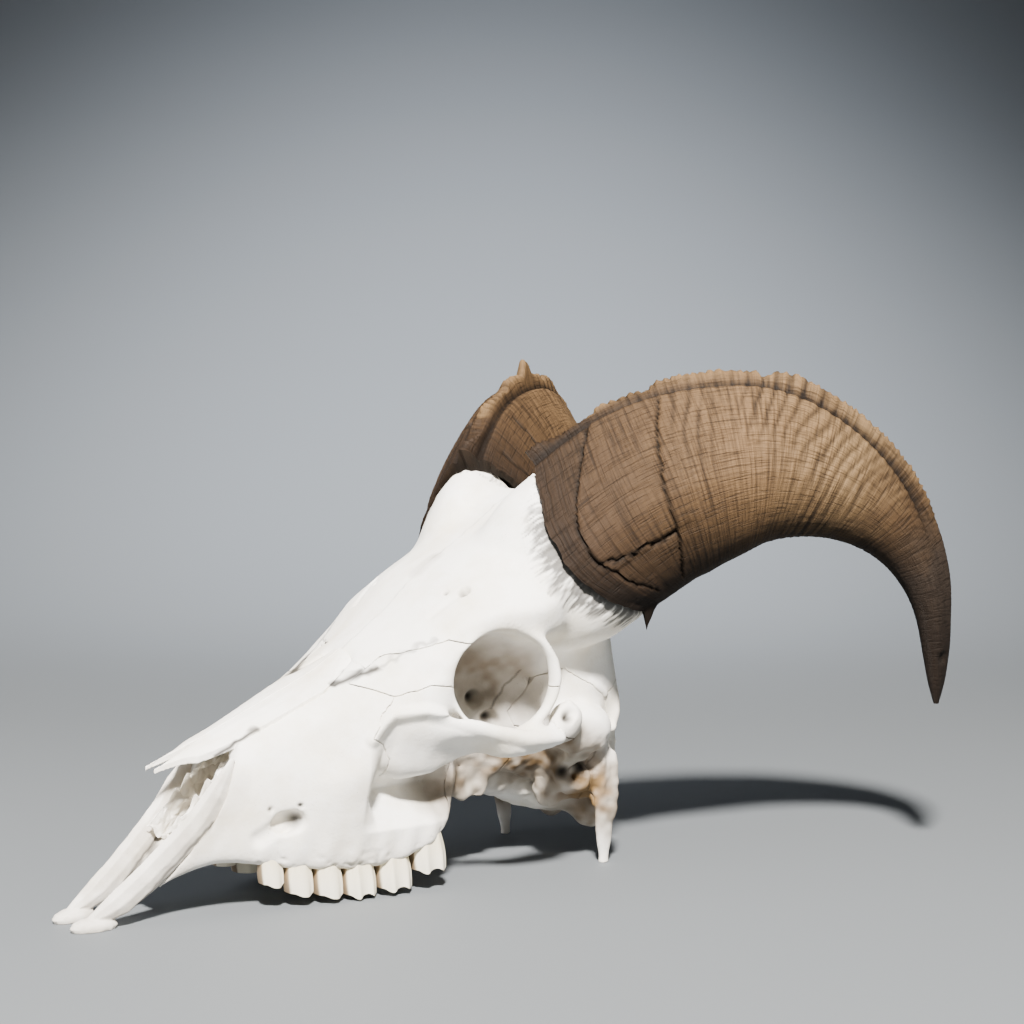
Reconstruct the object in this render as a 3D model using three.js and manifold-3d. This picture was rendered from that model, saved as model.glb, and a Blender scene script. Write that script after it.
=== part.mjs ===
// A bull tahr's skull without its lower jaw, resting on the tips of its premaxillae and of its paroccipital
// processes. Millimetres, +Z up, nose towards -X, the animal's left side towards -Y.
// Every size below is measured in the skull's own frame: x runs back from the nose tip, y out from the median
// plane and z up from the floor. The last lines move the middle of the whole to x = 0.
import * as THREE from "three";
import { mergeVertices } from "three/addons/utils/BufferGeometryUtils.js";
import Module from "manifold-3d";

const wasm = await Module();
wasm.setup();

// Driving dimensions

const sutureGap = 0.3; // between bones that meet
const sides = { left: -1, right: 1 };

// A table of numbers as objects: one per row, with the names given for its columns.
function stationsOf(names, rows) {
  const keys = names.split(" ");
  return rows.map((row) => Object.fromEntries(keys.map((key, i) => [key, row[i]])));
}

// The face in cross-section, from the nose back. Each station names the heights (z) and half widths (y) that
// its outline passes through: the nasal roof, its edge, the shoulder of the face, the cheek, the waist above
// the gums, the gums and the palate.
const faceColumns =
  "x roof roofHalf roofEdge shoulderHalf shoulder cheekHalf cheek waistHalf waist gumHalf gum palate";
const faceStations = stationsOf(faceColumns, [
  [28, 57, 8, 55, 10, 26, 12, 19, 12, 15, 11.5, 11.5, 15],
  [45, 64.2, 11, 61.5, 16, 42, 17, 30, 16.5, 23, 15, 17.5, 20.5],
  [60, 70.5, 13, 67, 19, 53, 20.5, 38, 20, 28, 18, 21.5, 24.5],
  [75, 77, 15, 72.5, 22, 61, 24, 44, 23.5, 31, 22, 20, 26.5],
  [90, 83.5, 17, 79.5, 26, 69, 29.5, 47, 28.5, 30, 26.5, 16, 28],
  [105, 90, 18.5, 86.5, 31, 77, 38, 52, 34, 32, 30.5, 14.5, 29],
  [118, 96, 20, 92.5, 37, 84, 45.5, 60, 39, 38, 33, 13.5, 29],
  [135, 107, 24, 101.5, 44, 93, 49, 72, 39, 44, 35.5, 14, 29],
  [150, 117, 30, 112, 48.5, 103, 53, 84, 38, 50, 37, 18, 30],
  [164, 129, 34, 124, 49, 113, 48, 92, 33, 56, 34.5, 25, 34],
  [176, 139, 36, 134, 46, 122, 36, 98, 26, 66, 24, 46, 50],
]);
const alveolusWidth = 14; // of the ridge that carries the teeth

// The cranium in cross-section: crown and its edge, brow over the orbit, side wall, base and floor.
const vaultColumns = "x crown crownHalf crownEdge browHalf brow wallHalf wall baseHalf base floor";
const vaultStations = stationsOf(vaultColumns, [
  [150, 116, 22, 113, 44, 104, 28, 85, 18, 62, 56],
  [165, 130, 24, 127, 53, 115, 25, 95, 17, 57, 50],
  [180, 141, 26, 139, 60, 118, 23, 98, 16, 52, 45],
  [195, 150, 29, 148, 64, 117, 25, 96, 18, 49, 42],
  [210, 161, 33, 159, 62, 121, 33, 92, 24, 47, 40],
  [225, 170, 35, 167, 52, 130, 38.5, 87, 28, 45, 37],
  [240, 170, 33, 163, 44, 126, 39.5, 83, 30, 43, 33],
  [252, 146, 29, 138, 37, 110, 36, 79, 30, 42, 27],
  [262, 116, 24, 109, 30, 93, 31, 73, 26, 40, 25],
  [268, 97, 18, 91, 25, 82, 26, 68, 20, 42, 28],
  [271.5, 84, 11, 80, 16, 74, 18, 64, 13, 48, 40],
]);

// The air way from the nasal opening through the snout to the choanae under the brain case.
const airwayStations = stationsOf("x half top bottom", [
  [30, 8, 52, 18],
  [50, 11.5, 62, 25],
  [70, 14, 69, 31],
  [95, 15, 80, 34],
  [120, 15, 88, 35],
  [142, 12, 66, 33],
  [165, 10.5, 48, 26],
  [188, 9.5, 39, 12],
  [206, 8, 30, 2],
]);

// The eye socket, and the bony rim round it, whose back edge stands further out than its front edge.
const orbit = { x: 180, y: 53, z: 92, radii: [23, 30, 22.5], turn: 0.16 };
// Thickness of the rim at the back and the front, how far out it lies, its lean, and depth for its thickness.
const rim = { back: 3, front: 1.4, out: 54.5, lean: 0.24, deep: 1.5, inset: 1 };

const nasal = {
  tip: 38.5, prong: 57, notch: 52, end: 131, thick: 3.6, tipThick: 1.8, prongHalf: 13.2, notchHalf: 9,
  tipHalf: 2.4,
  taperFrom: 112, endShare: 0.45, lift: 0.4, leastHalf: 11, thinTo: 62,
};

// The lower end, the bend and the top of the premaxilla's bar, and the thickness of the bar.
const premaxilla = {
  line: [[6, 9.5, 3.5], [20, 11, 10.5], [38, 13.5, 25], [52, 16, 38.5], [60, 17.5, 50], [68, 17.5, 64.5]],
  deep: [5.2, 6, 6.6, 6.4, 5.6, 3.6],
  thick: [5.2, 4.2, 3.6, 3.2, 3, 2.4],
  palatineRod: [[12, 5, 5], [28, 4.2, 12], [44, 3.6, 21.5]],
  rodRadius: 2,
  foot: [8.5, 9.5, 1.6],
  footSize: [10, 4.8, 4],
  footTurn: 0.1,
};

// Upper cheek teeth from the second premolar back: length along the row, width, lobes and crown height.
const teeth = [
  { length: 10.5, width: 9.5, lobes: 1, crown: 9 },
  { length: 12, width: 11.5, lobes: 1, crown: 11.5 },
  { length: 12.3, width: 13.5, lobes: 1, crown: 12.5 },
  { length: 15, width: 15, lobes: 2, crown: 13 },
  { length: 16.5, width: 15.5, lobes: 2, crown: 13 },
  { length: 17, width: 14.5, lobes: 2, crown: 13 },
];
const toothRow = {
  start: 77.5, spacing: 0.5, rootDepth: 7, lowest: 0.4, proud: 0.8, gumLift: 1, cusp: 1.4, rib: 0.1,
};

const horn = {
  base: [240, 42, 150], // middle of the rim of the sheath
  length: 240.4, // along the middle of the horn
  // position along the horn, half depth from keel to back, and half thickness
  girth: [
    [0, [45, 30.5]], [0.126, [44.9, 29.8]], [0.246, [42.4, 28.1]], [0.345, [39.3, 26.1]],
    [0.445, [33.3, 22.2]], [0.534, [27.2, 18.1]], [0.619, [20.9, 14.1]], [0.69, [15.8, 10.9]],
    [0.76, [11.9, 8.4]], [0.827, [8.8, 6.4]], [0.905, [6.4, 4.9]], [0.97, [3.4, 2.8]], [1, [1.2, 1]],
  ],
  // position along the horn and the angle it climbs at, in degrees
  heading: [
    [0, 38], [0.063, 33.7], [0.18, 20.3], [0.29, 7.6], [0.39, -11.6], [0.484, -25.3],
    [0.57, -39.1], [0.647, -53], [0.718, -64.5], [0.786, -77.3], [0.857, -84.4], [1, -89.5],
  ],
  splay: [[0, 35], [0.5, 30.4], [1, 19.8]], // outward from the median plane, in degrees
  rimDrop: 17, // how far the rim reaches down on the outer side
  keel: 7, // height of the crest along the front edge
  wall: 5.5, // sheath thickness round the bone core
  socketDepth: 8, // from the rim to the end of the bone core
  coreGap: 2.2, // between core and sheath
  coreRoot: 20, // how deep the core runs into the frontal bone
  frontNarrow: 0.22, // how much the oval narrows towards the keel
};

// Geometry helpers

const vec = (x, y, z) => new THREE.Vector3(x, y, z);
const radians = THREE.MathUtils.degToRad;
const lerp = THREE.MathUtils.lerp;

// A smooth function through [position, value] pairs.
function smooth(pairs) {
  const positions = pairs.map((p) => p[0]);
  const values = pairs.flatMap((p) => p[1]);
  const fit = new THREE.CubicInterpolant(positions, values, values.length / positions.length);
  return (at) => Array.from(fit.evaluate(THREE.MathUtils.clamp(at, positions[0], positions.at(-1))));
}

// The stations with `between` smooth steps added in each gap.
function refine(stations, between) {
  const keys = Object.keys(stations[0]);
  const at = smooth(stations.map((s, i) => [i, keys.map((k) => s[k])]));
  const count = (stations.length - 1) * between;
  return Array.from({ length: count + 1 }, (_, i) => {
    const values = at(i / between);
    return Object.fromEntries(keys.map((k, j) => [k, values[j]]));
  });
}

// A closed surface through rings of points that all run the same way round, with flat ends.
function loft(rings) {
  const n = rings[0].length;
  const points = rings.flat();
  const faces = [];
  for (let r = 0; r + 1 < rings.length; r++)
    for (let i = 0; i < n; i++) {
      const a = r * n + i;
      const b = r * n + ((i + 1) % n);
      faces.push(a, b, b + n, a, b + n, a + n);
    }
  [0, rings.length - 1].forEach((r, end) => {
    const middle = rings[r].reduce((sum, p) => sum.add(p), vec(0, 0, 0)).divideScalar(n);
    const hub = points.push(middle) - 1;
    for (let i = 0; i < n; i++) {
      const a = r * n + i;
      const b = r * n + ((i + 1) % n);
      faces.push(...(end ? [a, b, hub] : [b, a, hub]));
    }
  });
  return new THREE.BufferGeometry().setFromPoints(points).setIndex(faces);
}

// A ring of `count` points on a smooth closed curve through corners.
function roundedRing(corners, count) {
  const curve = new THREE.CatmullRomCurve3(corners, true, "centripetal");
  return Array.from({ length: count }, (_, i) => curve.getPoint(i / count));
}

// A ring in the plane x, symmetric about the median plane, through half-outline [y, z] corners that start and
// end on the median plane.
function medianRing(x, half, count) {
  const right = half.map(([y, z]) => vec(x, y, z));
  const left = half.slice(1, -1).reverse().map(([y, z]) => vec(x, -y, z));
  return roundedRing([...right, ...left], count);
}

// A bent bar with an oval section through points, `deep` along the hint direction and `thick` across it, with
// rounded ends.
function bar(points, deep, thick, hint, { sidesCount = 12, steps = 12 } = {}) {
  const curve = new THREE.CatmullRomCurve3(points, false, "centripetal");
  const last = points.length - 1;
  const size = smooth(points.map((_, i) => [i / last, [deep[i], thick[i]]]));
  const roundEnd = [0.35, 0.75]; // size of the first and second ring from each end
  return loft(
    Array.from({ length: steps + 1 }, (_, i) => {
      const t = i / steps;
      const along = curve.getTangent(t);
      const across = hint.clone().addScaledVector(along, -hint.dot(along)).normalize();
      const out = along.clone().cross(across);
      const taper = roundEnd[Math.min(i, steps - i)] ?? 1;
      const [a, b] = size(t).map((v) => v * taper);
      const middle = curve.getPoint(t);
      return Array.from({ length: sidesCount }, (_, k) => {
        const turn = (k / sidesCount) * 2 * Math.PI;
        const point = middle.clone().addScaledVector(across, a * Math.cos(turn));
        return point.addScaledVector(out, b * Math.sin(turn));
      });
    }),
  );
}

function ellipsoid([x, y, z], [rx, ry, rz], turn = 0, detail = 9) {
  return new THREE.SphereGeometry(1, detail + 4, detail).scale(rx, ry, rz).rotateZ(turn).translate(x, y, z);
}

function box([x0, y0, z0], [x1, y1, z1]) {
  const block = new THREE.BoxGeometry(x1 - x0, y1 - y0, z1 - z0);
  return block.translate((x0 + x1) / 2, (y0 + y1) / 2, (z0 + z1) / 2);
}

// A side-view outline of [x, z] points, moved out by `grow`, extruded from y = near to y = far.
function prism(outline, near, far, grow = 0) {
  const points = outline.map(([x, z]) => new THREE.Vector2(x, z));
  const turned = THREE.ShapeUtils.isClockWise(points) ? -1 : 1;
  const moved = points.map((p, i) => {
    const before = points.at(i - 1);
    const after = points[(i + 1) % points.length];
    const along = p.clone().sub(before).normalize().add(after.clone().sub(p).normalize()).normalize();
    return p.clone().add(new THREE.Vector2(along.y, -along.x).multiplyScalar(grow * turned));
  });
  const low = Math.min(near, far) - grow;
  const high = Math.max(near, far) + grow;
  const made = new THREE.ExtrudeGeometry(new THREE.Shape(moved), { depth: high - low, bevelEnabled: false });
  return made.rotateX(Math.PI / 2).translate(0, high, 0);
}

// Joining and cutting

function solid(geometry) {
  const bare = new THREE.BufferGeometry().setAttribute("position", geometry.getAttribute("position"));
  const merged = mergeVertices(geometry.index ? bare.setIndex(geometry.index) : bare, 1e-4);
  const vertProperties = merged.attributes.position.array;
  const triVerts = new Uint32Array(merged.index.array);
  const make = () => new wasm.Manifold(new wasm.Mesh({ numProp: 3, vertProperties, triVerts }));
  const first = make();
  if (first.volume() >= 0) return first;
  for (let i = 0; i < triVerts.length; i += 3) {
    [triVerts[i], triVerts[i + 1]] = [triVerts[i + 1], triVerts[i]];
  }
  return make();
}

const join = (...geometries) => geometries.map(solid).reduce((a, b) => a.add(b));
const cut = (body, ...tools) => tools.reduce((a, tool) => a.subtract(tool), body);
const largest = (body) => body.decompose().reduce((a, b) => (a.volume() > b.volume() ? a : b));

// The part of a body inside an outline, and the rest of it, with the suture gap between them.
function part(body, outline, near, far) {
  const inside = solid(prism(outline, near, far, -sutureGap / 2));
  const around = solid(prism(outline, near, far, sutureGap / 2));
  return [body.intersect(inside), body.subtract(around)];
}

function meshOf(name, body, look) {
  const made = largest(body).getMesh();
  const geometry = new THREE.BufferGeometry()
    .setAttribute("position", new THREE.BufferAttribute(new Float32Array(made.vertProperties), 3))
    .setIndex(new THREE.BufferAttribute(new Uint32Array(made.triVerts), 1));
  geometry.computeVertexNormals();
  const mesh = new THREE.Mesh(geometry, look);
  mesh.name = name;
  return mesh;
}

// The bones' shapes

const faceRing = (s) =>
  medianRing(
    s.x,
    [
      [0, s.roof],
      [s.roofHalf, s.roofEdge],
      [s.shoulderHalf, s.shoulder],
      [s.cheekHalf, s.cheek],
      [s.waistHalf, s.waist],
      [s.gumHalf, s.gum],
      [Math.max(s.gumHalf - alveolusWidth, s.gumHalf * 0.45), s.gum + 0.5],
      [Math.max(s.gumHalf - alveolusWidth - 3, s.gumHalf * 0.3), s.palate - 1],
      [0, s.palate],
    ],
    26,
  );

const vaultRing = (s) =>
  medianRing(
    s.x,
    [
      [0, s.crown],
      [s.crownHalf, s.crownEdge],
      [s.browHalf, s.brow],
      [s.wallHalf, s.wall],
      [s.baseHalf, s.base],
      [0, s.floor],
    ],
    22,
  );

const airwayRing = (s) => {
  const middle = (s.top + s.bottom) / 2;
  return medianRing(
    s.x,
    [
      [0, s.top],
      [s.half * 0.75, lerp(middle, s.top, 0.75)],
      [s.half, middle],
      [s.half * 0.85, lerp(middle, s.bottom, 0.8)],
      [0, s.bottom],
    ],
    14,
  );
};

const face = () => solid(loft(refine(faceStations, 2).map(faceRing)));
const vault = () => solid(loft(refine(vaultStations, 2).map(vaultRing)));
const airway = () => solid(loft(refine(airwayStations, 1).map(airwayRing)));

const orbitHollow = (side) =>
  solid(ellipsoid([orbit.x, side * orbit.y, orbit.z], orbit.radii, -side * orbit.turn));

// A bony ring round the orbit, thickest at the back, where it is the bar behind the eye.
function orbitRim(side) {
  const [rx, , rz] = orbit.radii;
  const count = 20;
  const n = 7;
  const rings = Array.from({ length: count }, (_, i) => {
    const turn = (i / count) * 2 * Math.PI;
    const out = vec(Math.cos(turn), 0, Math.sin(turn));
    const behind = Math.max(0, Math.cos(turn));
    const thick = lerp(rim.front, rim.back, behind);
    const middle = vec(
      orbit.x + (rx - rim.inset + thick) * out.x,
      side * (rim.out + rim.lean * rx * out.x),
      orbit.z + (rz - rim.inset + thick) * out.z,
    );
    return Array.from({ length: n }, (_, k) => {
      const around = (k / n) * 2 * Math.PI;
      return middle
        .clone()
        .addScaledVector(out, thick * Math.cos(around))
        .add(vec(0, side * thick * rim.deep * Math.sin(around), 0));
    });
  });
  const points = rings.flat();
  const faces = rings.flatMap((_, r) =>
    Array.from({ length: n }, (_, i) => {
      const a = r * n + i;
      const b = r * n + ((i + 1) % n);
      const c = ((r + 1) % count) * n + ((i + 1) % n);
      const d = ((r + 1) % count) * n + i;
      return [a, b, c, a, c, d];
    }).flat(),
  );
  return solid(new THREE.BufferGeometry().setFromPoints(points).setIndex(faces));
}

const up = vec(0, 0, 1);

const onSide = (side, points) => points.map(([x, y, z]) => vec(x, side * y, z));

// Cheek bone and zygomatic arch from the facial crest back to the ear.
const cheek = {
  line: [
    [121, 43, 66], [137, 48, 65], [154, 53, 65], [170, 58, 65],
    [186, 61, 64.5], [202, 61, 66], [214, 57, 67], [226, 47, 68],
  ],
  deep: [11, 15, 12.5, 8.5, 6, 5.5, 5.5, 7],
  thick: [4, 5, 5, 4.6, 4, 3.8, 4.5, 8],
};
const cheekBar = (side) =>
  solid(
    bar(
      onSide(side, cheek.line),
      cheek.deep,
      cheek.thick,
      up,
      { sidesCount: 10, steps: 14 },
    ),
  );

// Rounded forms of one side, as ellipsoids: the hollow of the chewing muscle, the root of the arch, the
// knuckle with a pit where the arch meets it, the mastoid, the tympanic bulla, the condyle and the hole in
// the face below the eye.
const rounded = {
  masseterHollow: { middle: [151, 70, 53], radii: [29, 17, 22], turn: -0.28, detail: 9 },
  earRoot: { middle: [233, 40, 64], radii: [19, 13, 13] },
  archKnuckle: { middle: [214, 56, 73], radii: [9, 7.5, 8.5] },
  archPit: { middle: [211, 60, 73.5], radii: [3.4, 9, 3.4], turn: 0.63, detail: 5 },
  mastoid: { middle: [238, 33, 46], radii: [17, 11, 17] },
  bulla: { middle: [229, 23, 33], radii: [9, 7, 8] },
  condyle: { middle: [260, 14.5, 24], radii: [11, 9, 14], turn: 0.5, detail: 7 },
  infraorbitalHole: { middle: [88, 29, 37.5], radii: [4.6, 8, 4], turn: -0.5 },
};
const roundForm = (name) => (side) => {
  const { middle: [x, y, z], radii, turn = 0, detail = 6 } = rounded[name];
  return solid(ellipsoid([x, side * y, z], radii, side * turn, detail));
};

const ear = { radius: 3.5, length: 22, at: [232, 46, 42] };
const earCanal = (side) => {
  const [x, y, z] = ear.at;
  return solid(new THREE.CylinderGeometry(ear.radius, ear.radius, ear.length, 9).translate(x, side * y, z));
};

// The paroccipital process: a blade that tapers down from the mastoid to the floor.
const neckSpur = {
  line: [[249, 37, 60], [248, 39, 44], [248.5, 40, 24], [249.5, 38.8, 8], [249.8, 38, -4]],
  deep: [9, 9, 7, 4.4, 2.8],
  thick: [6, 4.6, 3.4, 2.8, 2.2],
};
const paroccipital = (side) =>
  solid(
    bar(
      onSide(side, neckSpur.line),
      neckSpur.deep,
      neckSpur.thick,
      vec(1, 0, 0),
      { sidesCount: 9, steps: 8 },
    ),
  );

// The floor of the brain case, along the median plane.
const skullBase = {
  line: [[184, 0, 51], [205, 0, 42], [228, 0, 32], [248, 0, 24], [262, 0, 22]],
  deep: [9, 9, 8, 7, 7],
  thick: [13, 14, 15, 15, 16],
};
const basicranium = () =>
  solid(bar(onSide(1, skullBase.line), skullBase.deep, skullBase.thick, up, { sidesCount: 9, steps: 7 }));
// Thin plates that hang under the brain case on either side of the choanae.
const pterygoid = {
  outline: [
    [150, 50], [152, 31], [156.5, 22.5], [160, 23.5], [163, 29], [168, 36],
    [178, 35.5], [188, 32], [197, 33], [206, 46],
  ],
  inner: 12.5,
  outer: 16,
};
const pterygoidPlate = (side) =>
  solid(prism(pterygoid.outline, side * pterygoid.inner, side * pterygoid.outer));

// The crest across the back of the head, from one side to the other.
const nuchal = {
  line: [
    [256, -37, 60], [263, -30, 70], [270, -16, 76], [272, 0, 78],
    [270, 16, 76], [263, 30, 70], [256, 37, 60],
  ],
  deep: [5, 5, 4.5, 4.5, 4.5, 5, 5],
  thick: [5, 4.5, 4, 4, 4, 4.5, 5],
};
const nuchalCrest = () =>
  solid(bar(onSide(1, nuchal.line), nuchal.deep, nuchal.thick, up, { sidesCount: 7, steps: 8 }));

const spine = { front: 9, back: 8, length: 40, tilt: -0.25, at: [272, 0, 36] };
const spinalHole = () => {
  const hole = new THREE.CylinderGeometry(spine.front, spine.back, spine.length, 14);
  return solid(hole.rotateZ(Math.PI / 2).rotateY(spine.tilt).translate(...spine.at));
};

// The horns: direction along the horn, and an upright frame at each point of it.

const hornSteps = 24;

function hornFrames(side, steps) {
  const heading = smooth(horn.heading);
  const splay = smooth(horn.splay);
  const girth = smooth(horn.girth);
  const middle = vec(horn.base[0], side * horn.base[1], horn.base[2]);
  return Array.from({ length: steps + 1 }, (_, i) => {
    const t = i / steps;
    const pitch = radians(heading(t)[0]);
    const yaw = radians(splay(t)[0]);
    const level = vec(Math.cos(yaw), side * Math.sin(yaw), 0);
    const along = level.clone().multiplyScalar(Math.cos(pitch)).addScaledVector(up, Math.sin(pitch));
    const front = level.clone().multiplyScalar(-Math.sin(pitch)).addScaledVector(up, Math.cos(pitch));
    const outward = vec(-Math.sin(yaw), side * Math.cos(yaw), 0);
    const [long, wide] = girth(t);
    const frame = { t, middle: middle.clone(), along, front, outward, long, wide };
    middle.addScaledVector(along, horn.length / steps);
    return frame;
  });
}

// An oval across the horn, drawn out to a crest of `keel` mm along the front edge. `drop` lowers its outer
// side.
function hornRing(f, { long = f.long, wide = f.wide, keel = 0, drop = 0, count = 18 } = {}) {
  return Array.from({ length: count }, (_, k) => {
    const turn = (k / count) * 2 * Math.PI;
    const forward = Math.cos(turn);
    const crest = keel * Math.max(0, forward) ** 10;
    const narrow = 1 - horn.frontNarrow * Math.max(0, forward);
    const outside = Math.max(0, Math.sin(turn));
    return f.middle
      .clone()
      .addScaledVector(f.front, (long - keel * 0.5) * forward + crest)
      .addScaledVector(f.outward, wide * narrow * Math.sin(turn))
      .addScaledVector(f.along, -drop * outside * outside);
  });
}

// The outside of the horn, `grow` mm larger all round.
function hornBody(side, grow = 0) {
  const keelFade = 2.2; // the keel runs out over the last part of the horn
  const dropFade = 6; // the rim's drop is gone a sixth of the way up
  const rings = hornFrames(side, hornSteps).map((f) => {
    const keel = horn.keel * Math.min(1, (1 - f.t) * keelFade);
    const drop = horn.rimDrop * Math.max(0, 1 - f.t * dropFade) + grow;
    return hornRing(f, { long: f.long + grow, wide: f.wide + grow, keel, drop });
  });
  return solid(loft(rings));
}

const hornSheath = (side) => hornBody(side).subtract(hornCore(side, horn.coreGap, sutureGap));

const alongHorn = (f, mm) => ({ ...f, middle: f.middle.clone().addScaledVector(f.along, mm) });

// The bone core, from inside the frontal bone to the bottom of the socket.
function hornCore(side, grow = 0, extra = 0) {
  const [first] = hornFrames(side, hornSteps);
  const thinner = horn.wall + horn.coreGap - grow;
  const size = { long: first.long - thinner, wide: first.wide - thinner };
  const levels = [-horn.coreRoot, -horn.coreRoot / 2, horn.socketDepth + extra];
  return solid(loft(levels.map((mm) => hornRing(alongHorn(first, mm), size))));
}

// The neck of bone that carries the horn, flush with the rim of the sheath.
function pedicle(side) {
  const [first] = hornFrames(side, hornSteps);
  // distance along the horn, and the share of its girth
  const levels = [[-52, 0.62, 0.6], [-36, 0.8, 0.8], [-20, 0.9, 0.9], [-2, 0.92, 0.9]];
  const drop = horn.rimDrop * 0.9;
  const rings = levels.map(([mm, long, wide]) =>
    hornRing(alongHorn(first, mm), { long: first.long * long, wide: first.wide * wide, drop }),
  );
  return solid(loft(rings));
}

// Teeth

function toothAt(side, tooth, x, y, gum) {
  const lobes = tooth.lobes;
  const count = lobes === 1 ? 8 : 12;
  const outline = Array.from({ length: count }, (_, k) => {
    const turn = (k / count) * 2 * Math.PI;
    const rib = 1 + toothRow.rib * Math.cos(2 * lobes * turn);
    return [Math.cos(turn) * rib, Math.sin(turn) * rib];
  });
  const levels = [
    [gum + toothRow.rootDepth, 0.82],
    [lerp(gum, gum - tooth.crown, 0.6), 1],
    [gum - tooth.crown, 0.9],
  ];
  return solid(
    loft(
      levels.map(([z, scale], level) =>
        outline.map(([a, b], k) => {
          const cusp = level === 2 ? toothRow.cusp * Math.cos((k / count) * 4 * Math.PI * lobes) : 0;
          const out = y + side * b * scale * (tooth.width / 2);
          return vec(x + a * scale * (tooth.length / 2), out, Math.max(z + cusp, toothRow.lowest));
        }),
      ),
    ),
  );
}

function toothRowOf(side) {
  const gumAt = smooth(faceStations.map((s) => [s.x, [s.gum, s.gumHalf]]));
  let front = toothRow.start;
  return teeth
    .map((tooth) => {
      const x = front + tooth.length / 2;
      front += tooth.length + toothRow.spacing;
      const [gum, gumHalf] = gumAt(x);
      const y = side * (gumHalf - tooth.width / 2 + toothRow.proud);
      return toothAt(side, tooth, x, y, gum + toothRow.gumLift);
    })
    .reduce((a, b) => a.add(b));
}

// Nasal bones: one arched plate with a forked tip, parted along the median plane.

// With `grow` it is the space that the plate needs, open upwards.
function nasalPlate(grow) {
  const headroom = grow ? 6 : 0;
  const at = smooth(faceStations.map((s) => [s.x, [s.roof, s.roofHalf, s.roofEdge]]));
  const count = 14;
  const rings = Array.from({ length: count + 1 }, (_, i) => {
    const x = lerp(nasal.tip, nasal.end, i / count) + (i === 0 ? -grow : 0) + (i === count ? grow : 0);
    const [roof, roofHalf, roofEdge] = at(x);
    const tapered = Math.max(0, (x - nasal.taperFrom) / (nasal.end - nasal.taperFrom));
    const narrowed = lerp(1, nasal.endShare, tapered);
    const half = Math.max(roofHalf, nasal.leastHalf) * narrowed + grow;
    const thickened = Math.min(1, (x - nasal.tip) / (nasal.thinTo - nasal.tip));
    const thick = lerp(nasal.tipThick, nasal.thick, thickened);
    const arch = (u) => roof + (x < nasal.prong ? 0 : nasal.lift) - (roof - roofEdge) * 0.9 * u * u;
    const across = [-1, -0.7, -0.35, 0, 0.35, 0.7, 1];
    const top = across.map((u) => vec(x, u * half, arch(u) + headroom));
    const under = across.toReversed().map((u) => vec(x, u * (half - 0.5), arch(u) - thick - 1.6 * grow));
    return [...top, ...under];
  });
  return solid(loft(rings));
}

// Plan outline of what is cut from the front of the plate on one side, to leave its forked tip.
function nasalFork(side) {
  const n = nasal;
  const outline = [
    [n.tip - 8, 0.5],
    [n.tip + 5, 0.5],
    [n.tip, n.tipHalf],
    [n.notch, n.notchHalf],
    [n.prong, n.prongHalf],
    [n.prong + 12, n.prongHalf + 8],
    [n.tip - 8, n.prongHalf + 8],
  ];
  const shape = new THREE.Shape(outline.map(([x, y]) => new THREE.Vector2(x, side * y)));
  return solid(new THREE.ExtrudeGeometry(shape, { depth: 60, bevelEnabled: false }).translate(0, 0, 40));
}

// Assembly of the bones

const both = (make) => make(-1).add(make(1));
// Boxes larger than the skull: all that lies on one side of the median plane, and all below the floor.
const space = { front: -50, back: 500, side: 200, below: -60, above: 300 };
function halfSpace(side) {
  const [inner, outer] = [(side * sutureGap) / 2, side * space.side];
  const [low, high] = [Math.min(inner, outer), Math.max(inner, outer)];
  return solid(box([space.front, low, space.below], [space.back, high, space.above]));
}
const floorCut = solid(box([space.front, -space.side, space.below], [space.back, space.side, 0]));

// Side-view outlines [x, z] of the sutures.
const outlines = {
  cranial: [
    [128, 140], [128, 96], [142, 104.5], [157, 110], [171, 108], [173, 84], [170, 40], [180, -20],
    [420, -20], [420, 280], [128, 280],
  ],
  premaxillary: [
    [-20, 8], [22, 4], [38, 21], [50, 32], [57, 38.5], [62, 48], [67, 59], [71, 68], [60, 90],
    [-20, 90],
  ],
  zygomatic: [
    [119, 71], [124, 80], [131, 88], [145, 92], [155, 91], [163, 86], [176, 90], [193, 88],
    [212, 89], [209, 82], [203, 73], [206, 66], [222, 62], [208, 57], [206, 38], [164, 46],
    [138, 42], [130, 49], [130, 61], [126, 68],
  ],
  lacrimal: [
    [119, 93], [128, 100], [142, 105], [157, 110.5], [172, 108], [176, 90], [163, 86], [155, 91],
    [145, 92], [131, 88],
  ],
  temporal: [
    [200, 34], [208, 57], [222, 62], [206, 66], [203, 73], [209, 82], [212, 89], [226, 92],
    [240, 84], [251, 76], [255, 66], [243, 58], [238.5, 45], [238, 14], [222, 10],
  ],
  occipital: [
    [255, 66], [251, 76], [262, 82], [300, 92], [300, -20], [238, -20], [238, 14], [238.5, 45],
    [243, 58],
  ],
  parietal: [
    [226, 92], [240, 84], [251, 76], [262, 82], [300, 92], [300, 200], [262, 200], [254, 150],
    [242, 118],
  ],
  sphenoid: [
    [171, 66], [206, 61], [222, 50], [238, 43], [238, -10], [166.5, -10], [166.5, 44],
  ],
};
const sutureDepth = { cheek: 32, lacrimal: 24, ear: 17, parietal: 27 };
const farOut = 120;

function bones() {
  const paired = (...makers) => makers.map(both).reduce((a, b) => a.add(b));
  const shell = paired(cheekBar, roundForm("earRoot"), pedicle).add(face()).add(vault()).add(basicranium());
  const hollowed = cut(shell, both(orbitHollow), both(roundForm("masseterHollow")), airway());
  const lumps = paired(...["archKnuckle", "bulla", "mastoid", "condyle"].map(roundForm));
  const details = paired(orbitRim, paroccipital, pterygoidPlate).add(lumps);
  const holes = paired(roundForm("archPit"), earCanal, roundForm("infraorbitalHole"));
  return cut(hollowed.add(details).add(nuchalCrest()), spinalHole(), holes, floorCut);
}

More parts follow.
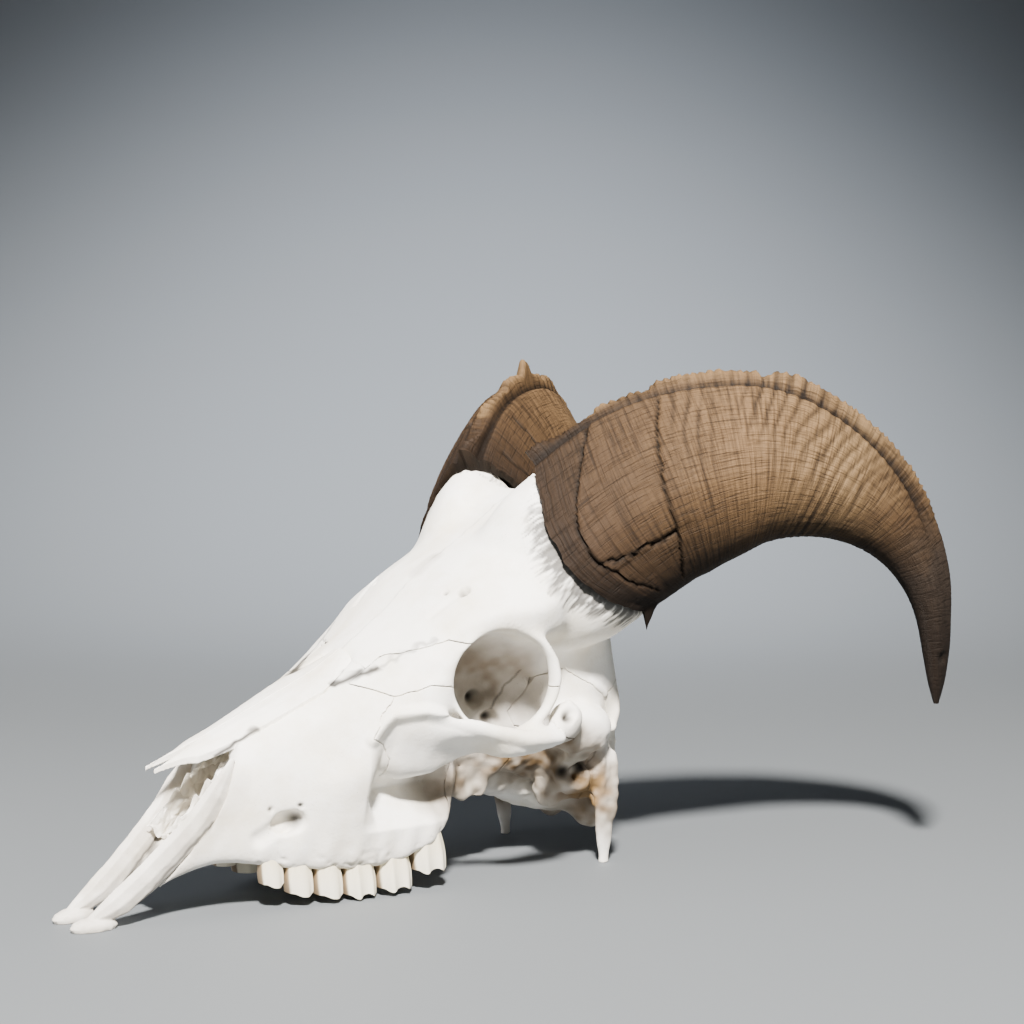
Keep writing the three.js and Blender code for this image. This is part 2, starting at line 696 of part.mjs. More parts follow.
function build() {
  const bone = { color: 0xece7dc, roughness: 0.7, metalness: 0 };
  const keratin = { color: 0x7a6248, roughness: 0.75, metalness: 0 };
  const boneLook = new THREE.MeshStandardMaterial(bone);
  const hornLook = new THREE.MeshStandardMaterial(keratin);
  const skull = new THREE.Group();
  const add = (name, body, look = boneLook) => skull.add(meshOf(name, body, look));

  let rest = cut(bones(), nasalPlate(sutureGap));
  const nasals = cut(nasalPlate(0), both(nasalFork));
  for (const [name, side] of Object.entries(sides)) add(`nasal_${name}`, nasals.intersect(halfSpace(side)));

  for (const [name, side] of Object.entries(sides)) {
    let piece;
    const premax = (grow) => {
      const { line, deep, thick, palatineRod, rodRadius, foot, footSize, footTurn } = premaxilla;
      const bigger = (sizes) => sizes.map((v) => v + grow);
      const facets = { sidesCount: 8, steps: 10 };
      const main = solid(bar(onSide(side, line), bigger(deep), bigger(thick), vec(-0.7, 0, 0.7), facets));
      const [footMiddle] = onSide(side, [foot]);
      const tip = solid(ellipsoid(footMiddle.toArray(), bigger(footSize), side * footTurn, 8));
      const round = palatineRod.map(() => rodRadius + grow);
      const rod = bar(onSide(side, palatineRod), round, round, up, { sidesCount: 6, steps: 6 });
      return main.add(tip).add(solid(rod));
    };
    add(`premaxilla_${name}`, cut(premax(0), nasalPlate(sutureGap), floorCut));
    rest = rest.subtract(premax(sutureGap));
    [piece, rest] = part(rest, outlines.zygomatic, side * sutureDepth.cheek, side * farOut);
    add(`zygomatic_${name}`, piece);
    [piece, rest] = part(rest, outlines.lacrimal, side * sutureDepth.lacrimal, side * farOut);
    add(`lacrimal_${name}`, piece);
    [piece, rest] = part(rest, outlines.temporal, side * sutureDepth.ear, side * farOut);
    add(`temporal_${name}`, piece);
  }
  let piece;
  rest = rest.subtract(solid(prism(outlines.premaxillary, -farOut, farOut)));
  [piece, rest] = part(rest, outlines.occipital, -farOut, farOut);
  add("occipital", piece);
  [piece, rest] = part(rest, outlines.parietal, -sutureDepth.parietal, sutureDepth.parietal);
  add("parietal", cut(piece, both((side) => hornCore(side, sutureGap, 0))));
  [piece, rest] = part(rest, outlines.sphenoid, -farOut, farOut);
  add("sphenoid", piece);
  [piece, rest] = part(rest, outlines.cranial, -farOut, farOut);
  add("frontal", cut(piece, both((side) => hornBody(side, sutureGap))).add(both((side) => hornCore(side))));
  for (const [name, side] of Object.entries(sides)) {
    add(`maxilla_${name}`, cut(rest.intersect(halfSpace(side)).add(toothRowOf(side)), floorCut));
  }
  for (const [name, side] of Object.entries(sides)) add(`horn_${name}`, hornSheath(side), hornLook);

  const reach = new THREE.Box3().setFromObject(skull);
  skull.position.x = -(reach.min.x + reach.max.x) / 2;
  return skull;
}

export default build();
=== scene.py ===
# A bull tahr's skull without its lower jaw: bleached bone, cream cheek teeth and brown, ringed horns.
# Sizes are in millimetres in the skull's own frame: x back from the nose tip, y to the animal's right, z up.
import math

import bpy
import numpy as np
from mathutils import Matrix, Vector


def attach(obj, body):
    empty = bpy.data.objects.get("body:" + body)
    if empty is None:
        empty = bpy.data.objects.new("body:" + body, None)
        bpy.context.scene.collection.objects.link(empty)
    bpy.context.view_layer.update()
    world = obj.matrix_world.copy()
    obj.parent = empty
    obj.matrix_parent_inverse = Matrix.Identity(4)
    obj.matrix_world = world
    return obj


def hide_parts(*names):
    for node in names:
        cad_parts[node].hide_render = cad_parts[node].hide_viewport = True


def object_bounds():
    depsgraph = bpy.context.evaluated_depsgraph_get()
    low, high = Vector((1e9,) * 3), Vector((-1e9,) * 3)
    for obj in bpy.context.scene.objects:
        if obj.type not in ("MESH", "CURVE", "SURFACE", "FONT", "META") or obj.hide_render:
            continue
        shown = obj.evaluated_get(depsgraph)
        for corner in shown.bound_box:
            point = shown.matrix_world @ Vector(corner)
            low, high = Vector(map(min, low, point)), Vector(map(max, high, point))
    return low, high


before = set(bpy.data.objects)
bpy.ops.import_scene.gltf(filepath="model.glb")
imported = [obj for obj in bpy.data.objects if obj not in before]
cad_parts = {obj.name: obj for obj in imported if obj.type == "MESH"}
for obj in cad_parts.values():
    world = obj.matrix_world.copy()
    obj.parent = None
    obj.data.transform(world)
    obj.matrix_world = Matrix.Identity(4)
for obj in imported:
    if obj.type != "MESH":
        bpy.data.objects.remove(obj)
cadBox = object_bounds()
mm = 0.001
noseX = cadBox[0][0] + 2 * mm  # the nose tips overhang x = 0 by 2 mm
bothSides = {"left": -1, "right": 1}
floorClear = 0.05
smoothAngle = 48
print("frame loaded:", len(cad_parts), "nodes")


# Helpers

def deselectAll():
    bpy.ops.object.select_all(action="DESELECT")


def makeActive(piece):
    deselectAll()
    piece.select_set(True)
    bpy.context.view_layer.objects.active = piece


# Runs mesh operators with their settings on the whole of a piece.
def editAll(piece, *steps):
    makeActive(piece)
    bpy.ops.object.mode_set(mode="EDIT")
    bpy.ops.mesh.select_all(action="SELECT")
    for operator, settings in steps:
        operator(**settings)
    bpy.ops.object.mode_set(mode="OBJECT")


outwardFaces = (bpy.ops.mesh.normals_make_consistent, {"inside": False})


def mergeWithin(gap):
    return bpy.ops.mesh.remove_doubles, {"threshold": gap * mm}


def newPiece(name, mesh):
    piece = bpy.data.objects.new(name, mesh)
    bpy.context.scene.collection.objects.link(piece)
    return piece


def applyModifiers(piece):
    makeActive(piece)
    for modifier in list(piece.modifiers):
        bpy.ops.object.modifier_apply(modifier=modifier.name)


def readVertices(mesh, what):
    flat = np.empty(len(mesh.vertices) * 3)
    mesh.vertices.foreach_get(what, flat)
    return flat.reshape(-1, 3)


def readPoints(mesh):
    return (readVertices(mesh, "co") - (noseX, 0, 0)) / mm


def writePoints(mesh, points):
    mesh.vertices.foreach_set("co", (points * mm + (noseX, 0, 0)).ravel())
    mesh.update()


def writeAttribute(mesh, name, values):
    attribute = mesh.attributes.get(name) or mesh.attributes.new(name, "FLOAT", "POINT")
    attribute.data.foreach_set("value", np.clip(values, 0, 1).astype(np.float32))


# Smooth random values from -1 to 1 that change over about `size` mm.
def grain(points, size, seed=0):
    scaled = points / size + seed * 17.31
    cell = np.floor(scaled).astype(np.int64)
    part = scaled - cell
    part = part * part * (3 - 2 * part)
    total = np.zeros(len(points))
    for corner in range(8):
        step = np.array([corner & 1, corner >> 1 & 1, corner >> 2 & 1])
        x, y, z = (cell + step).T
        mixed = (x * 73856093) ^ (y * 19349663) ^ (z * 83492791)
        value = np.modf(np.abs(np.sin((mixed % 100003) * 12.9898) * 43758.5453))[0]
        total += value * np.prod(np.where(step == 1, part, 1 - part), axis=1)
    return total * 2 - 1


# A smooth curve through rows of [position, value, ...].
def smoothRows(rows):
    table = np.array(rows, float)
    at, values = table[:, 0], table[:, 1:]
    slopes = np.gradient(values, at, axis=0)

    def read(position):
        position = np.clip(np.asarray(position, float), at[0], at[-1])
        i = np.clip(np.searchsorted(at, position, side="right") - 1, 0, len(at) - 2)
        gap = (at[i + 1] - at[i])[..., None]
        t = (position - at[i])[..., None] / gap
        start = values[i] * (1 + 2 * t) * (1 - t) ** 2 + slopes[i] * gap * t * (1 - t) ** 2
        return start + values[i + 1] * t * t * (3 - 2 * t) + slopes[i + 1] * gap * t * t * (t - 1)

    return read


def nearLine(points, line):
    corners = np.array(line, float)
    nearest = np.full(len(points), 1e9)
    for a, b in zip(corners[:-1], corners[1:]):
        along = b - a
        t = np.clip((points - a) @ along / (along @ along), 0, 1)
        nearest = np.minimum(nearest, np.linalg.norm(points - a - t[:, None] * along, axis=1))
    return nearest


def falloff(distance, radius):
    return np.clip(1 - (distance / radius) ** 2, 0, 1) ** 2


# From 0 at `start` to 1 a `width` further on, and from 1 down to 0 at `end`.
def rampUp(value, start, width):
    return np.clip((value - start) / width, 0, 1)


def rampDown(value, end, width):
    return np.clip((end - value) / width, 0, 1)


# A grid of quads wrapped into a form. For values from 0 to 1 along and around, shape gives the points and
# what is painted on them.
def wrapGrid(name, rows, columns, shape):
    deselectAll()
    bpy.ops.mesh.primitive_grid_add(x_subdivisions=rows, y_subdivisions=columns, size=1)
    piece = bpy.context.active_object
    piece.name = name
    piece.data.name = name
    spot = readVertices(piece.data, "co") + 0.5
    points, paint = shape(spot[:, 0], spot[:, 1])
    writePoints(piece.data, points)
    for label, values in paint.items():
        writeAttribute(piece.data, label, values)
    editAll(piece, mergeWithin(0.01), outwardFaces)
    return piece


# Colours and materials

def hexColour(code):
    parts = [int(code[i:i + 2], 16) / 255 for i in (1, 3, 5)]
    return [p / 12.92 if p <= 0.04045 else ((p + 0.055) / 1.055) ** 2.4 for p in parts] + [1]


def addNode(tree, kind, sockets=None, **settings):
    node = tree.nodes.new(kind)
    for name, value in settings.items():
        setattr(node, name, value)
    for socket, value in (sockets or {}).items():
        if isinstance(value, bpy.types.NodeSocket):
            tree.links.new(value, node.inputs[socket])
        else:
            node.inputs[socket].default_value = value
    return node


def newMaterial(name, look, display):
    material = bpy.data.materials.new(name)
    material.use_nodes = True
    material.diffuse_color = hexColour(display)
    shader = material.node_tree.nodes["Principled BSDF"]
    shader.inputs["IOR"].default_value = look["ior"]
    shader.inputs["Specular IOR Level"].default_value = look["sheen"]
    return material, material.node_tree, shader


def addNoise(tree, where, scale, detail, rough=0.5):
    sockets = {"Vector": where, "Scale": scale, "Detail": detail, "Roughness": rough}
    return addNode(tree, "ShaderNodeTexNoise", sockets).outputs["Fac"]


def addMath(tree, operation, *values):
    return addNode(tree, "ShaderNodeMath", dict(enumerate(values)), operation=operation).outputs[0]


# Carries a value from one span over to another.
def addRange(tree, value, old, new):
    sockets = {"Value": value, "From Min": old[0], "From Max": old[1], "To Min": new[0], "To Max": new[1]}
    return addNode(tree, "ShaderNodeMapRange", sockets).outputs["Result"]


def addRamp(tree, value, stops):
    ramp = addNode(tree, "ShaderNodeValToRGB", {"Fac": value})
    elements = ramp.color_ramp.elements
    while len(elements) < len(stops):
        elements.new(0.5)
    for element, (position, colour) in zip(elements, stops):
        element.position = position
        element.color = hexColour(colour)
    return ramp.outputs["Color"]


# What the mesh carries under a name, from 0 to 1.
def addPaint(tree, name):
    return addNode(tree, "ShaderNodeAttribute", attribute_name=name).outputs["Fac"]


def addStretch(tree, where, scale):
    return addNode(tree, "ShaderNodeMapping", {"Vector": where, "Scale": scale}).outputs["Vector"]


def mixColours(tree, share, first, second):
    return addNode(tree, "ShaderNodeMix", {0: share, 6: first, 7: second}, data_type="RGBA").outputs[2]


def addBump(tree, shader, height, strength, deep):
    bump = addNode(tree, "ShaderNodeBump", {"Height": height, "Strength": strength, "Distance": deep * mm})
    tree.links.new(bump.outputs["Normal"], shader.inputs["Normal"])


# Dry bone, macerated and bleached: chalky white with cream clouds, fine pores and a faint fibre.
# Brown stays where tissue lay longest, and dark dirt in the sutures and cracks.
# Painted shade darkens the holes, and part of the brown is painted shade: on the cheek plate and partly on
# the snout.
boneLook = {
    "cream": "#e4dccb", "white": "#f6f3ec", "brown": "#7b6240", "deepBrown": "#4a3a26", "dirtAndShade": "#140f0a",
    "pore": "#4d4132", "cloudMm": 30, "fibreMm": 1.6, "poreMm": 1.3, "patchMm": 9, "ior": 1.55, "sheen": 0.25,
    "rough": (0.5, 0.78), "bump": 0.35, "bumpMm": 0.5,
}


def makeBone():
    look = boneLook
    material, tree, shader = newMaterial("bleachedBone", look, look["white"])
    where = addNode(tree, "ShaderNodeTexCoord").outputs["Object"]
    cloud = addNoise(tree, where, 1000 / look["cloudMm"], 5, 0.6)
    tone = addRamp(tree, cloud, [(0.32, look["cream"]), (0.58, look["white"])])
    spots = addNode(tree, "ShaderNodeTexVoronoi", {"Vector": where, "Scale": 1000 / look["poreMm"]})
    pores = addRange(tree, spots.outputs["Distance"], (0.05, 0.16), (1, 0))
    patch = addNoise(tree, where, 1000 / look["patchMm"], 2)
    poreShare = addMath(tree, "MULTIPLY", pores, addRange(tree, patch, (0.5, 0.72), (0, 0.75)))
    pored = mixColours(tree, poreShare, tone, hexColour(look["pore"]))
    # Part of the brown is painted shade, on the cheek plate and partly on the snout.
    stainAndShadeTone = addRamp(tree, cloud, [(0.35, look["deepBrown"]), (0.65, look["brown"])])
    stainedAndShaded = mixColours(tree, addPaint(tree, "stainAndShade"), pored, stainAndShadeTone)
    # The dark paint is also painted shade in the holes.
    soiledAndShaded = mixColours(tree, addPaint(tree, "dirtAndShade"), stainedAndShaded, hexColour(look["dirtAndShade"]))
    tree.links.new(soiledAndShaded, shader.inputs["Base Color"])
    fibre = addNoise(tree, where, 1000 / look["fibreMm"], 4, 0.65)
    tree.links.new(addRange(tree, fibre, (0, 1), look["rough"]), shader.inputs["Roughness"])
    addBump(tree, shader, addMath(tree, "SUBTRACT", fibre, poreShare), look["bump"], look["bumpMm"])
    return material


# Tooth: glossy cream enamel over yellower cement, with upright streaks and brown in the folds.
toothLook = {
    "crown": "#efe8d3", "neck": "#d8c9a2", "fold": "#6e532f", "streakMm": 0.8, "streakScale": (1, 1, 0.12),
    "ior": 1.62, "sheen": 0.5, "rough": 0.34, "bump": 0.25, "bumpMm": 0.3,
}


def makeEnamel():
    look = toothLook
    material, tree, shader = newMaterial("creamEnamel", look, look["crown"])
    where = addNode(tree, "ShaderNodeTexCoord").outputs["Object"]
    upright = addStretch(tree, where, look["streakScale"])
    streak = addNoise(tree, upright, 1000 / look["streakMm"], 3)
    share = addMath(tree, "MULTIPLY", addPaint(tree, "neck"), streak)
    tone = mixColours(tree, share, hexColour(look["crown"]), hexColour(look["neck"]))
    folded = mixColours(tree, addPaint(tree, "fold"), tone, hexColour(look["fold"]))
    tree.links.new(folded, shader.inputs["Base Color"])
    shader.inputs["Roughness"].default_value = look["rough"]
    addBump(tree, shader, streak, look["bump"], look["bumpMm"])
    return material


# Horn sheath: weathered keratin in overlapping rings, dull and fibrous, dark at base and tip, tan between.
# Fibres run along it, hatching across it and scratches along it, each by its scale along and across.
hornLook = {
    "base": "#35281d", "brown": "#463523", "tan": "#6c5439", "pale": "#7c6446", "grey": "#2c2621",
    "tip": "#0b0a09", "grooveAndShade": "#150f0a", "keel": "#6d563a", "crack": "#060402", "patchMm": 14,
    "fibre": (9, 420, 1), "hatch": (210, 6, 1), "scratch": (20, 250, 1), "lineShare": 0.66, "wander": 0.14,
    "ior": 1.54, "sheen": 0.1, "rough": (0.5, 0.8), "bump": 0.6, "bumpMm": 0.6,
}


def makeKeratin():
    look = hornLook
    material, tree, shader = newMaterial("weatheredHorn", look, look["brown"])
    where = addNode(tree, "ShaderNodeTexCoord").outputs
    fibre = addNoise(tree, addStretch(tree, where["UV"], look["fibre"]), 1, 5, 0.7)
    patch = addNoise(tree, where["Object"], 1000 / look["patchMm"], 4, 0.6)
    wandered = addMath(tree, "MULTIPLY_ADD", patch, look["wander"], addPaint(tree, "age"))
    age = addMath(tree, "SUBTRACT", wandered, look["wander"] / 2)
    stops = [(0, "base"), (0.14, "brown"), (0.32, "tan"), (0.5, "pale"), (0.62, "brown"), (0.74, "grey"),
             (0.88, "tip")]
    tone = addRamp(tree, age, [(position, look[name]) for position, name in stops])
    streak = addRange(tree, fibre, (0.35, 0.7), (0, 0.55))
    colour = mixColours(tree, streak, tone, hexColour(look["base"]))
    height = fibre
    for kind, limits in (("hatch", (0.47, 0.68)), ("scratch", (0.52, 0.68))):
        lines = addNoise(tree, addStretch(tree, where["UV"], look[kind]), 1, 3, 0.6)
        share = addRange(tree, lines, limits, (0, look["lineShare"]))
        colour = mixColours(tree, share, colour, hexColour(look["grooveAndShade"]))
        height = addMath(tree, "SUBTRACT", height, share)
    # The dark groove paint also carries painted shade under the horn, beside the keel and inside the socket.
    for kind in ("keel", "grooveAndShade", "crack"):
        colour = mixColours(tree, addPaint(tree, kind), colour, hexColour(look[kind]))
    tree.links.new(colour, shader.inputs["Base Color"])
    tree.links.new(addRange(tree, fibre, (0, 1), look["rough"]), shader.inputs["Roughness"])
    addBump(tree, shader, height, look["bump"], look["bumpMm"])
    return material


bleachedBone = makeBone()
creamEnamel = makeEnamel()
weatheredHorn = makeKeratin()
print("materials made")


def finishPiece(piece, material, slot, *nodes):
    piece.data.materials.clear()
    piece.data.materials.append(material)
    makeActive(piece)
    bpy.ops.object.shade_smooth_by_angle(angle=math.radians(smoothAngle))
    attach(piece, "root")
    if nodes:
        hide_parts(*nodes)


# Camera, floor and light

view = {"at": (-329.5, -750.2, 214.2), "turn": -36.46, "down": 3.24, "focalPx": 2000, "imagePx": 1024,
        "sensor": 36}


def setCamera():
    deselectAll()
    x, y, z = view["at"]
    bpy.ops.object.camera_add(location=(noseX + x * mm, y * mm, z * mm),
                              rotation=(math.radians(90 - view["down"]), 0, math.radians(view["turn"])))
    camera = bpy.context.active_object
    camera.data.sensor_width = view["sensor"]
    camera.data.lens = view["focalPx"] / view["imagePx"] * view["sensor"]
    camera.data.clip_start = 0.01
    bpy.context.scene.camera = camera


sweep = {"width": 7, "front": -2.2, "back": 0.75, "bend": 0.8, "height": 3, "colour": "#63676a",
         "ior": 1.45, "sheen": 0.3, "rough": 0.7}


# A pale floor that curves up into a wall far behind the skull, square to the camera.
def makeSweep():
    deselectAll()
    bpy.ops.mesh.primitive_grid_add(x_subdivisions=2, y_subdivisions=60, size=1)
    floor = bpy.context.active_object
    floor.name = "studioSweep"
    length = sweep["back"] - sweep["front"]
    arc = sweep["bend"] * math.pi / 2
    turn = math.radians(view["turn"])
    for vertex in floor.data.vertices:
        run = (vertex.co.y + 0.5) * (length + arc + sweep["height"])
        bent = min(max(run - length, 0), arc) / sweep["bend"]
        depth = sweep["front"] + min(run, length) + math.sin(bent) * sweep["bend"]
        rise = (1 - math.cos(bent)) * sweep["bend"] + max(run - length - arc, 0)
        side = vertex.co.x * sweep["width"]
        vertex.co = (side * math.cos(turn) - depth * math.sin(turn),
                     side * math.sin(turn) + depth * math.cos(turn), rise)
    bpy.ops.object.shade_smooth()
    material, _, shader = newMaterial("paleFloor", sweep, sweep["colour"])
    shader.inputs["Base Color"].default_value = hexColour(sweep["colour"])
    shader.inputs["Roughness"].default_value = sweep["rough"]
    floor.data.materials.append(material)


# Placed and aimed as seen from the camera, in metres: sideways (right is positive), nearer, and up.
lights = {
    "key": {"kind": "SPOT", "place": (0.05, 1.5, 1.75), "aim": (-0.06, 0, 0.1), "size": 0.13, "watts": 1300,
            "cone": 60, "colour": "#fffaf4"},
    "fill": {"kind": "AREA", "place": (-1.3, 0.5, 0.9), "aim": (0, 0, 0.1), "size": 1.1, "watts": 12,
             "colour": "#f4f7ff"},
    "backdrop": {"kind": "SPOT", "place": (0.05, -0.35, 1.2), "aim": (0, -1.4, 0.02), "size": 0.3,
                 "watts": 250, "cone": 66, "colour": "#f2f6ff"},
}
skyLight = {"colour": "#e8ecf0", "strength": 0.16}


def makeLights():
    turn = math.radians(view["turn"])
    across = Vector((math.cos(turn), math.sin(turn), 0))
    nearer = Vector((math.sin(turn), -math.cos(turn), 0))
    for name, light in lights.items():
        deselectAll()
        spots = (light["place"], light["aim"])
        place, aim = (across * x + nearer * y + Vector((0, 0, z)) for x, y, z in spots)
        facing = (aim - place).to_track_quat("-Z", "Y").to_euler()
        bpy.ops.object.light_add(type=light["kind"], location=place, rotation=facing)
        lamp = bpy.context.active_object
        lamp.name = name + "Light"
        lamp.data.energy = light["watts"]
        lamp.data.color = hexColour(light["colour"])[:3]
        if light["kind"] == "SPOT":
            lamp.data.shadow_soft_size = light["size"]
            lamp.data.spot_size = math.radians(light["cone"])
            lamp.data.spot_blend = 1
        else:
            lamp.data.size = light["size"]
    world = bpy.data.worlds.new("softRoom")
    bpy.context.scene.world = world
    world.use_nodes = True
    sky = world.node_tree.nodes["Background"]
    sky.inputs["Color"].default_value = hexColour(skyLight["colour"])
    sky.inputs["Strength"].default_value = skyLight["strength"]


setCamera()
makeSweep()
makeLights()
print("camera, floor and lights set")


# Bones

bone = {"copyVoxel": 0.9, "voxel": 0.85, "grow": 0.3, "rounds": 45, "thinVoxel": 0.5, "thinRounds": 8}
boneNodes = [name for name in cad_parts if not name.startswith("horn")]
thinNodes = [name for name in boneNodes if name.startswith(("premaxilla", "nasal"))]
gumRows = smoothRows([[75, 20, 22], [90, 16, 26.5], [105, 14.5, 30.5], [118, 13.5, 33],
                      [135, 14, 35.5], [150, 18, 37], [164, 25, 34.5]])


def copyNode(name):
    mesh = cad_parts[name].data.copy()
    mesh.materials.clear()
    piece = newPiece(name + ".bone", mesh)
    editAll(piece, mergeWithin(0.002))
    return piece


def combine(piece, tool, operation):
    step = piece.modifiers.new("cut", "BOOLEAN")
    step.operation = operation
    step.solver = "MANIFOLD"
    step.object = tool
    applyModifiers(piece)


toothCut = {"front": 76, "long": 91, "inward": 19, "wide": 27, "deep": 25, "over": 0.6, "cuts": 15}


# Takes the plain teeth off a copy of the maxilla, along the gum line, to make room for the modelled ones.
def trimTeeth(piece, side):
    deselectAll()
    bpy.ops.mesh.primitive_cube_add(size=1, location=(0, 0, 0))
    cutter = bpy.context.active_object
    editAll(cutter, (bpy.ops.mesh.subdivide, {"number_cuts": toothCut["cuts"]}))
    points = readVertices(cutter.data, "co")
    x = toothCut["front"] + (points[:, 0] + 0.5) * toothCut["long"]
    gum, half = gumRows(x).T
    y = side * (half - toothCut["inward"] + (points[:, 1] + 0.5) * toothCut["wide"])
    lower = gum - toothCut["deep"] + (points[:, 2] + 0.5) * (toothCut["deep"] + toothCut["over"])
    z = np.where(points[:, 2] > 0.49, gum + toothCut["over"], lower)
    writePoints(cutter.data, np.stack([x, y, z], 1))
    editAll(cutter, outwardFaces)
    combine(piece, cutter, "DIFFERENCE")
    bpy.data.objects.remove(cutter)


def remesh(piece, voxel):
    makeActive(piece)
    piece.data.remesh_voxel_size = voxel * mm
    bpy.ops.object.voxel_remesh()


# The mean of each point's neighbours, as a function of any values laid on the points.
def neighbourMean(mesh):
    flat = np.empty(len(mesh.edges) * 2, dtype=np.int32)
    mesh.edges.foreach_get("vertices", flat)
    a, b = flat.reshape(-1, 2).T
    count = len(mesh.vertices)
    around = np.bincount(a, minlength=count) + np.bincount(b, minlength=count)

    def mean(values):
        columns = [np.bincount(a, v[b], count) + np.bincount(b, v[a], count) for v in values.T]
        return np.stack(columns, 1) / around[:, None]

    return mean


# Smooths facets away without shrinking the form, by turns pulling points in and pushing them out.
def relax(mesh, rounds, pull=0.5, push=-0.53):
    points = readPoints(mesh)
    mean = neighbourMean(mesh)
    for turn in range(rounds * 2):
        points += (pull if turn % 2 == 0 else push) * (mean(points) - points)
    writePoints(mesh, points)


# Blends forms into one another where they meet: boxes of the smooth skull (low and high corner on the right
# side), the width of their soft edge and the share by which the surface in them is evened out in each round.
melts = {
    "ear": {"low": (208, 14, 26), "high": (262, 62, 84), "edge": 9, "share": 0.35},
    "knuckle": {"low": (203, 46, 62), "high": (224, 72, 86), "edge": 6, "share": 0.6},
    "under": {"low": (198, 8, 8), "high": (262, 36, 42), "edge": 8, "share": 0.35},
    "brow": {"low": (160, 40, 110), "high": (216, 70, 138), "edge": 8, "share": 0.55},
    "neck": {"low": (196, 34, 112), "high": (236, 80, 150), "edge": 9, "share": 0.4},
    "cheek": {"low": (116, 30, 40), "high": (166, 62, 80), "edge": 7, "share": 0.2},
    "arch": {"low": (164, 50, 54), "high": (206, 74, 74), "edge": 6, "share": 0.4},
}
evenOut = {"rounds": 90, "spread": 8, "sharp": 0.055, "share": 0.5}


def meltForms(mesh):
    points = readPoints(mesh)
    mean = neighbourMean(mesh)
    sharp = np.linalg.norm(mean(points) - points, axis=1)[:, None]
    for turn in range(evenOut["spread"]):
        sharp = mean(sharp)
    share = evenOut["share"] * np.clip(1.5 - sharp / evenOut["sharp"], 0, 1)
    spot = mirrorLeft(points)
    for melt in melts.values():
        inside = np.minimum(spot - melt["low"], np.array(melt["high"]) - spot).min(axis=1)
        share = np.maximum(share, melt["share"] * np.clip(0.5 + inside / melt["edge"], 0, 1)[:, None])
    for turn in range(evenOut["rounds"]):
        points += share * (mean(points) - points)
    writePoints(mesh, points)


# A brush along a line of points: how wide it reaches, how strong it is, and the floor of a slanting hole.
def brush(wide, strength, *line, floor=None):
    return {"wide": wide, "strength": strength, "line": line, "floor": floor}


# What is pressed into (positive) or raised from (negative) the smooth skull, on both sides.
marks = {
    "browHole": brush(3.2, 4.5, (171.5, 36.1, 129.3), (172.5, 36.4, 130)),
    "browGutter": brush(3, 0.7, (169, 35, 127.5), (158, 31, 120)),
    "browDot": brush(1.8, 2.2, (167.7, 28.6, 128.5), (168.2, 28.7, 128.8)),
    "opticHole": brush(5, 6, (187.7, 20, 80), (189, 20, 79)),
    "lowerHole": brush(4.8, 6, (195, 21.3, 70.5), (197, 21.5, 69)),
    "noseHole": brush(6, 4.5, (86, 27.5, 36.5), (90, 30, 37.5), floor=(99, 22, 38)),
    "archPit": brush(4.2, 4.5, (210, 61, 74), (212, 60, 75)),
    "earHole": brush(6, 5, (232, 46, 44), (232, 46, 36)),
    "noseGutter": brush(5, 1.8, (86, 27, 37), (76, 24.2, 31)),
    "noseDotHigh": brush(1.6, 1.6, (80, 26.5, 43), (80.3, 26.5, 43)),
    "noseDotBack": brush(1.8, 1.8, (92, 30.5, 44), (92.3, 30.5, 44)),
    "neckDot": brush(2.2, 2.4, (250, 41, 62), (251, 41, 62)),
    "crownDotA": brush(1.6, 2, (213, 62, 137), (213.3, 62, 137)),
    "crownDotB": brush(1.8, 2, (221, 64, 123), (221.3, 64, 123)),
    "crownDotC": brush(1.3, 1.6, (211, 60, 143), (211.3, 60, 143)),
    "cheekCrest": brush(4.5, -2.8, (120, 44, 71), (128, 46, 80), (142, 51, 81.5), (157, 55, 77),
                        (172, 60, 71), (186, 63, 67), (204, 64, 66)),
    "cheekHollow": brush(13, 1.5, (131, 46, 66), (148, 50, 64), (166, 56, 60)),
    "faceHollow": brush(15, 1.6, (108, 33, 66), (122, 38, 70)),
    "faceRidge": brush(6, -1.1, (119, 43, 66), (121, 41, 52), (124, 38, 38)),
    "tearHollow": brush(7, 1.1, (140, 46, 97), (147, 48, 97)),
    "templeHollow": brush(15, 2.5, (222, 40, 92), (240, 38, 96)),
    "jawHollow": brush(7, 3, (216, 34, 52), (226, 36, 50)),
    "neckHollow": brush(5, 2.2, (240, 44, 52), (241, 43, 36)),
    "jawGap": brush(5.5, 4.5, (204, 30, 58), (214, 36, 58), (222, 40, 54)),
    "earGap": brush(5, 4, (222, 40, 44), (238, 43, 47)),
    "neckGap": brush(5, 3.5, (228, 34, 30), (240, 38, 32)),
    "templeLine": brush(4, -1.8, (214, 58, 82), (228, 50, 86), (242, 42, 84), (252, 38, 78)),
    "neckEdge": brush(4, -1.2, (256, 38, 62), (254, 41, 44), (251, 40, 22)),
}
holes = ["browHole", "browDot", "opticHole", "lowerHole", "noseHole", "archPit", "earHole", "neckDot",
         "jawGap", "earGap", "noseDotHigh", "noseDotBack", "crownDotA", "crownDotB", "crownDotC"]
# The beaded edge of the orbit, between two angles, and the streaked bone below the horn's rim.
rimBeads = {"middle": (180, 92), "radius": 25, "wide": 3.5, "out": 44, "from": 15, "to": 100, "count": 26,
            "tall": 0.4}
burr = {"reach": 15, "rough": 1.3, "streakMm": 1.4, "streakLong": 7, "radius": 38, "from": 25, "to": 175,
        "soft": 25, "least": 0.12}
# Spongy bone above the teeth, the bulges of their roots, and the rough base of the skull.
gumPits = {"from": 74, "to": 168, "out": 15, "up": 3, "reach": 9, "size": 2.4, "deep": 0.8,
           "dirtTo": 160, "dirtReach": 8}
rootBulges = {"up": 6, "reach": 12, "apart": 6.4, "tall": 0.55}
skullBase = {"top": 66, "low": 14, "front": 168}


def mirrorLeft(points):
    return np.column_stack([points[:, 0], np.abs(points[:, 1]), points[:, 2]])


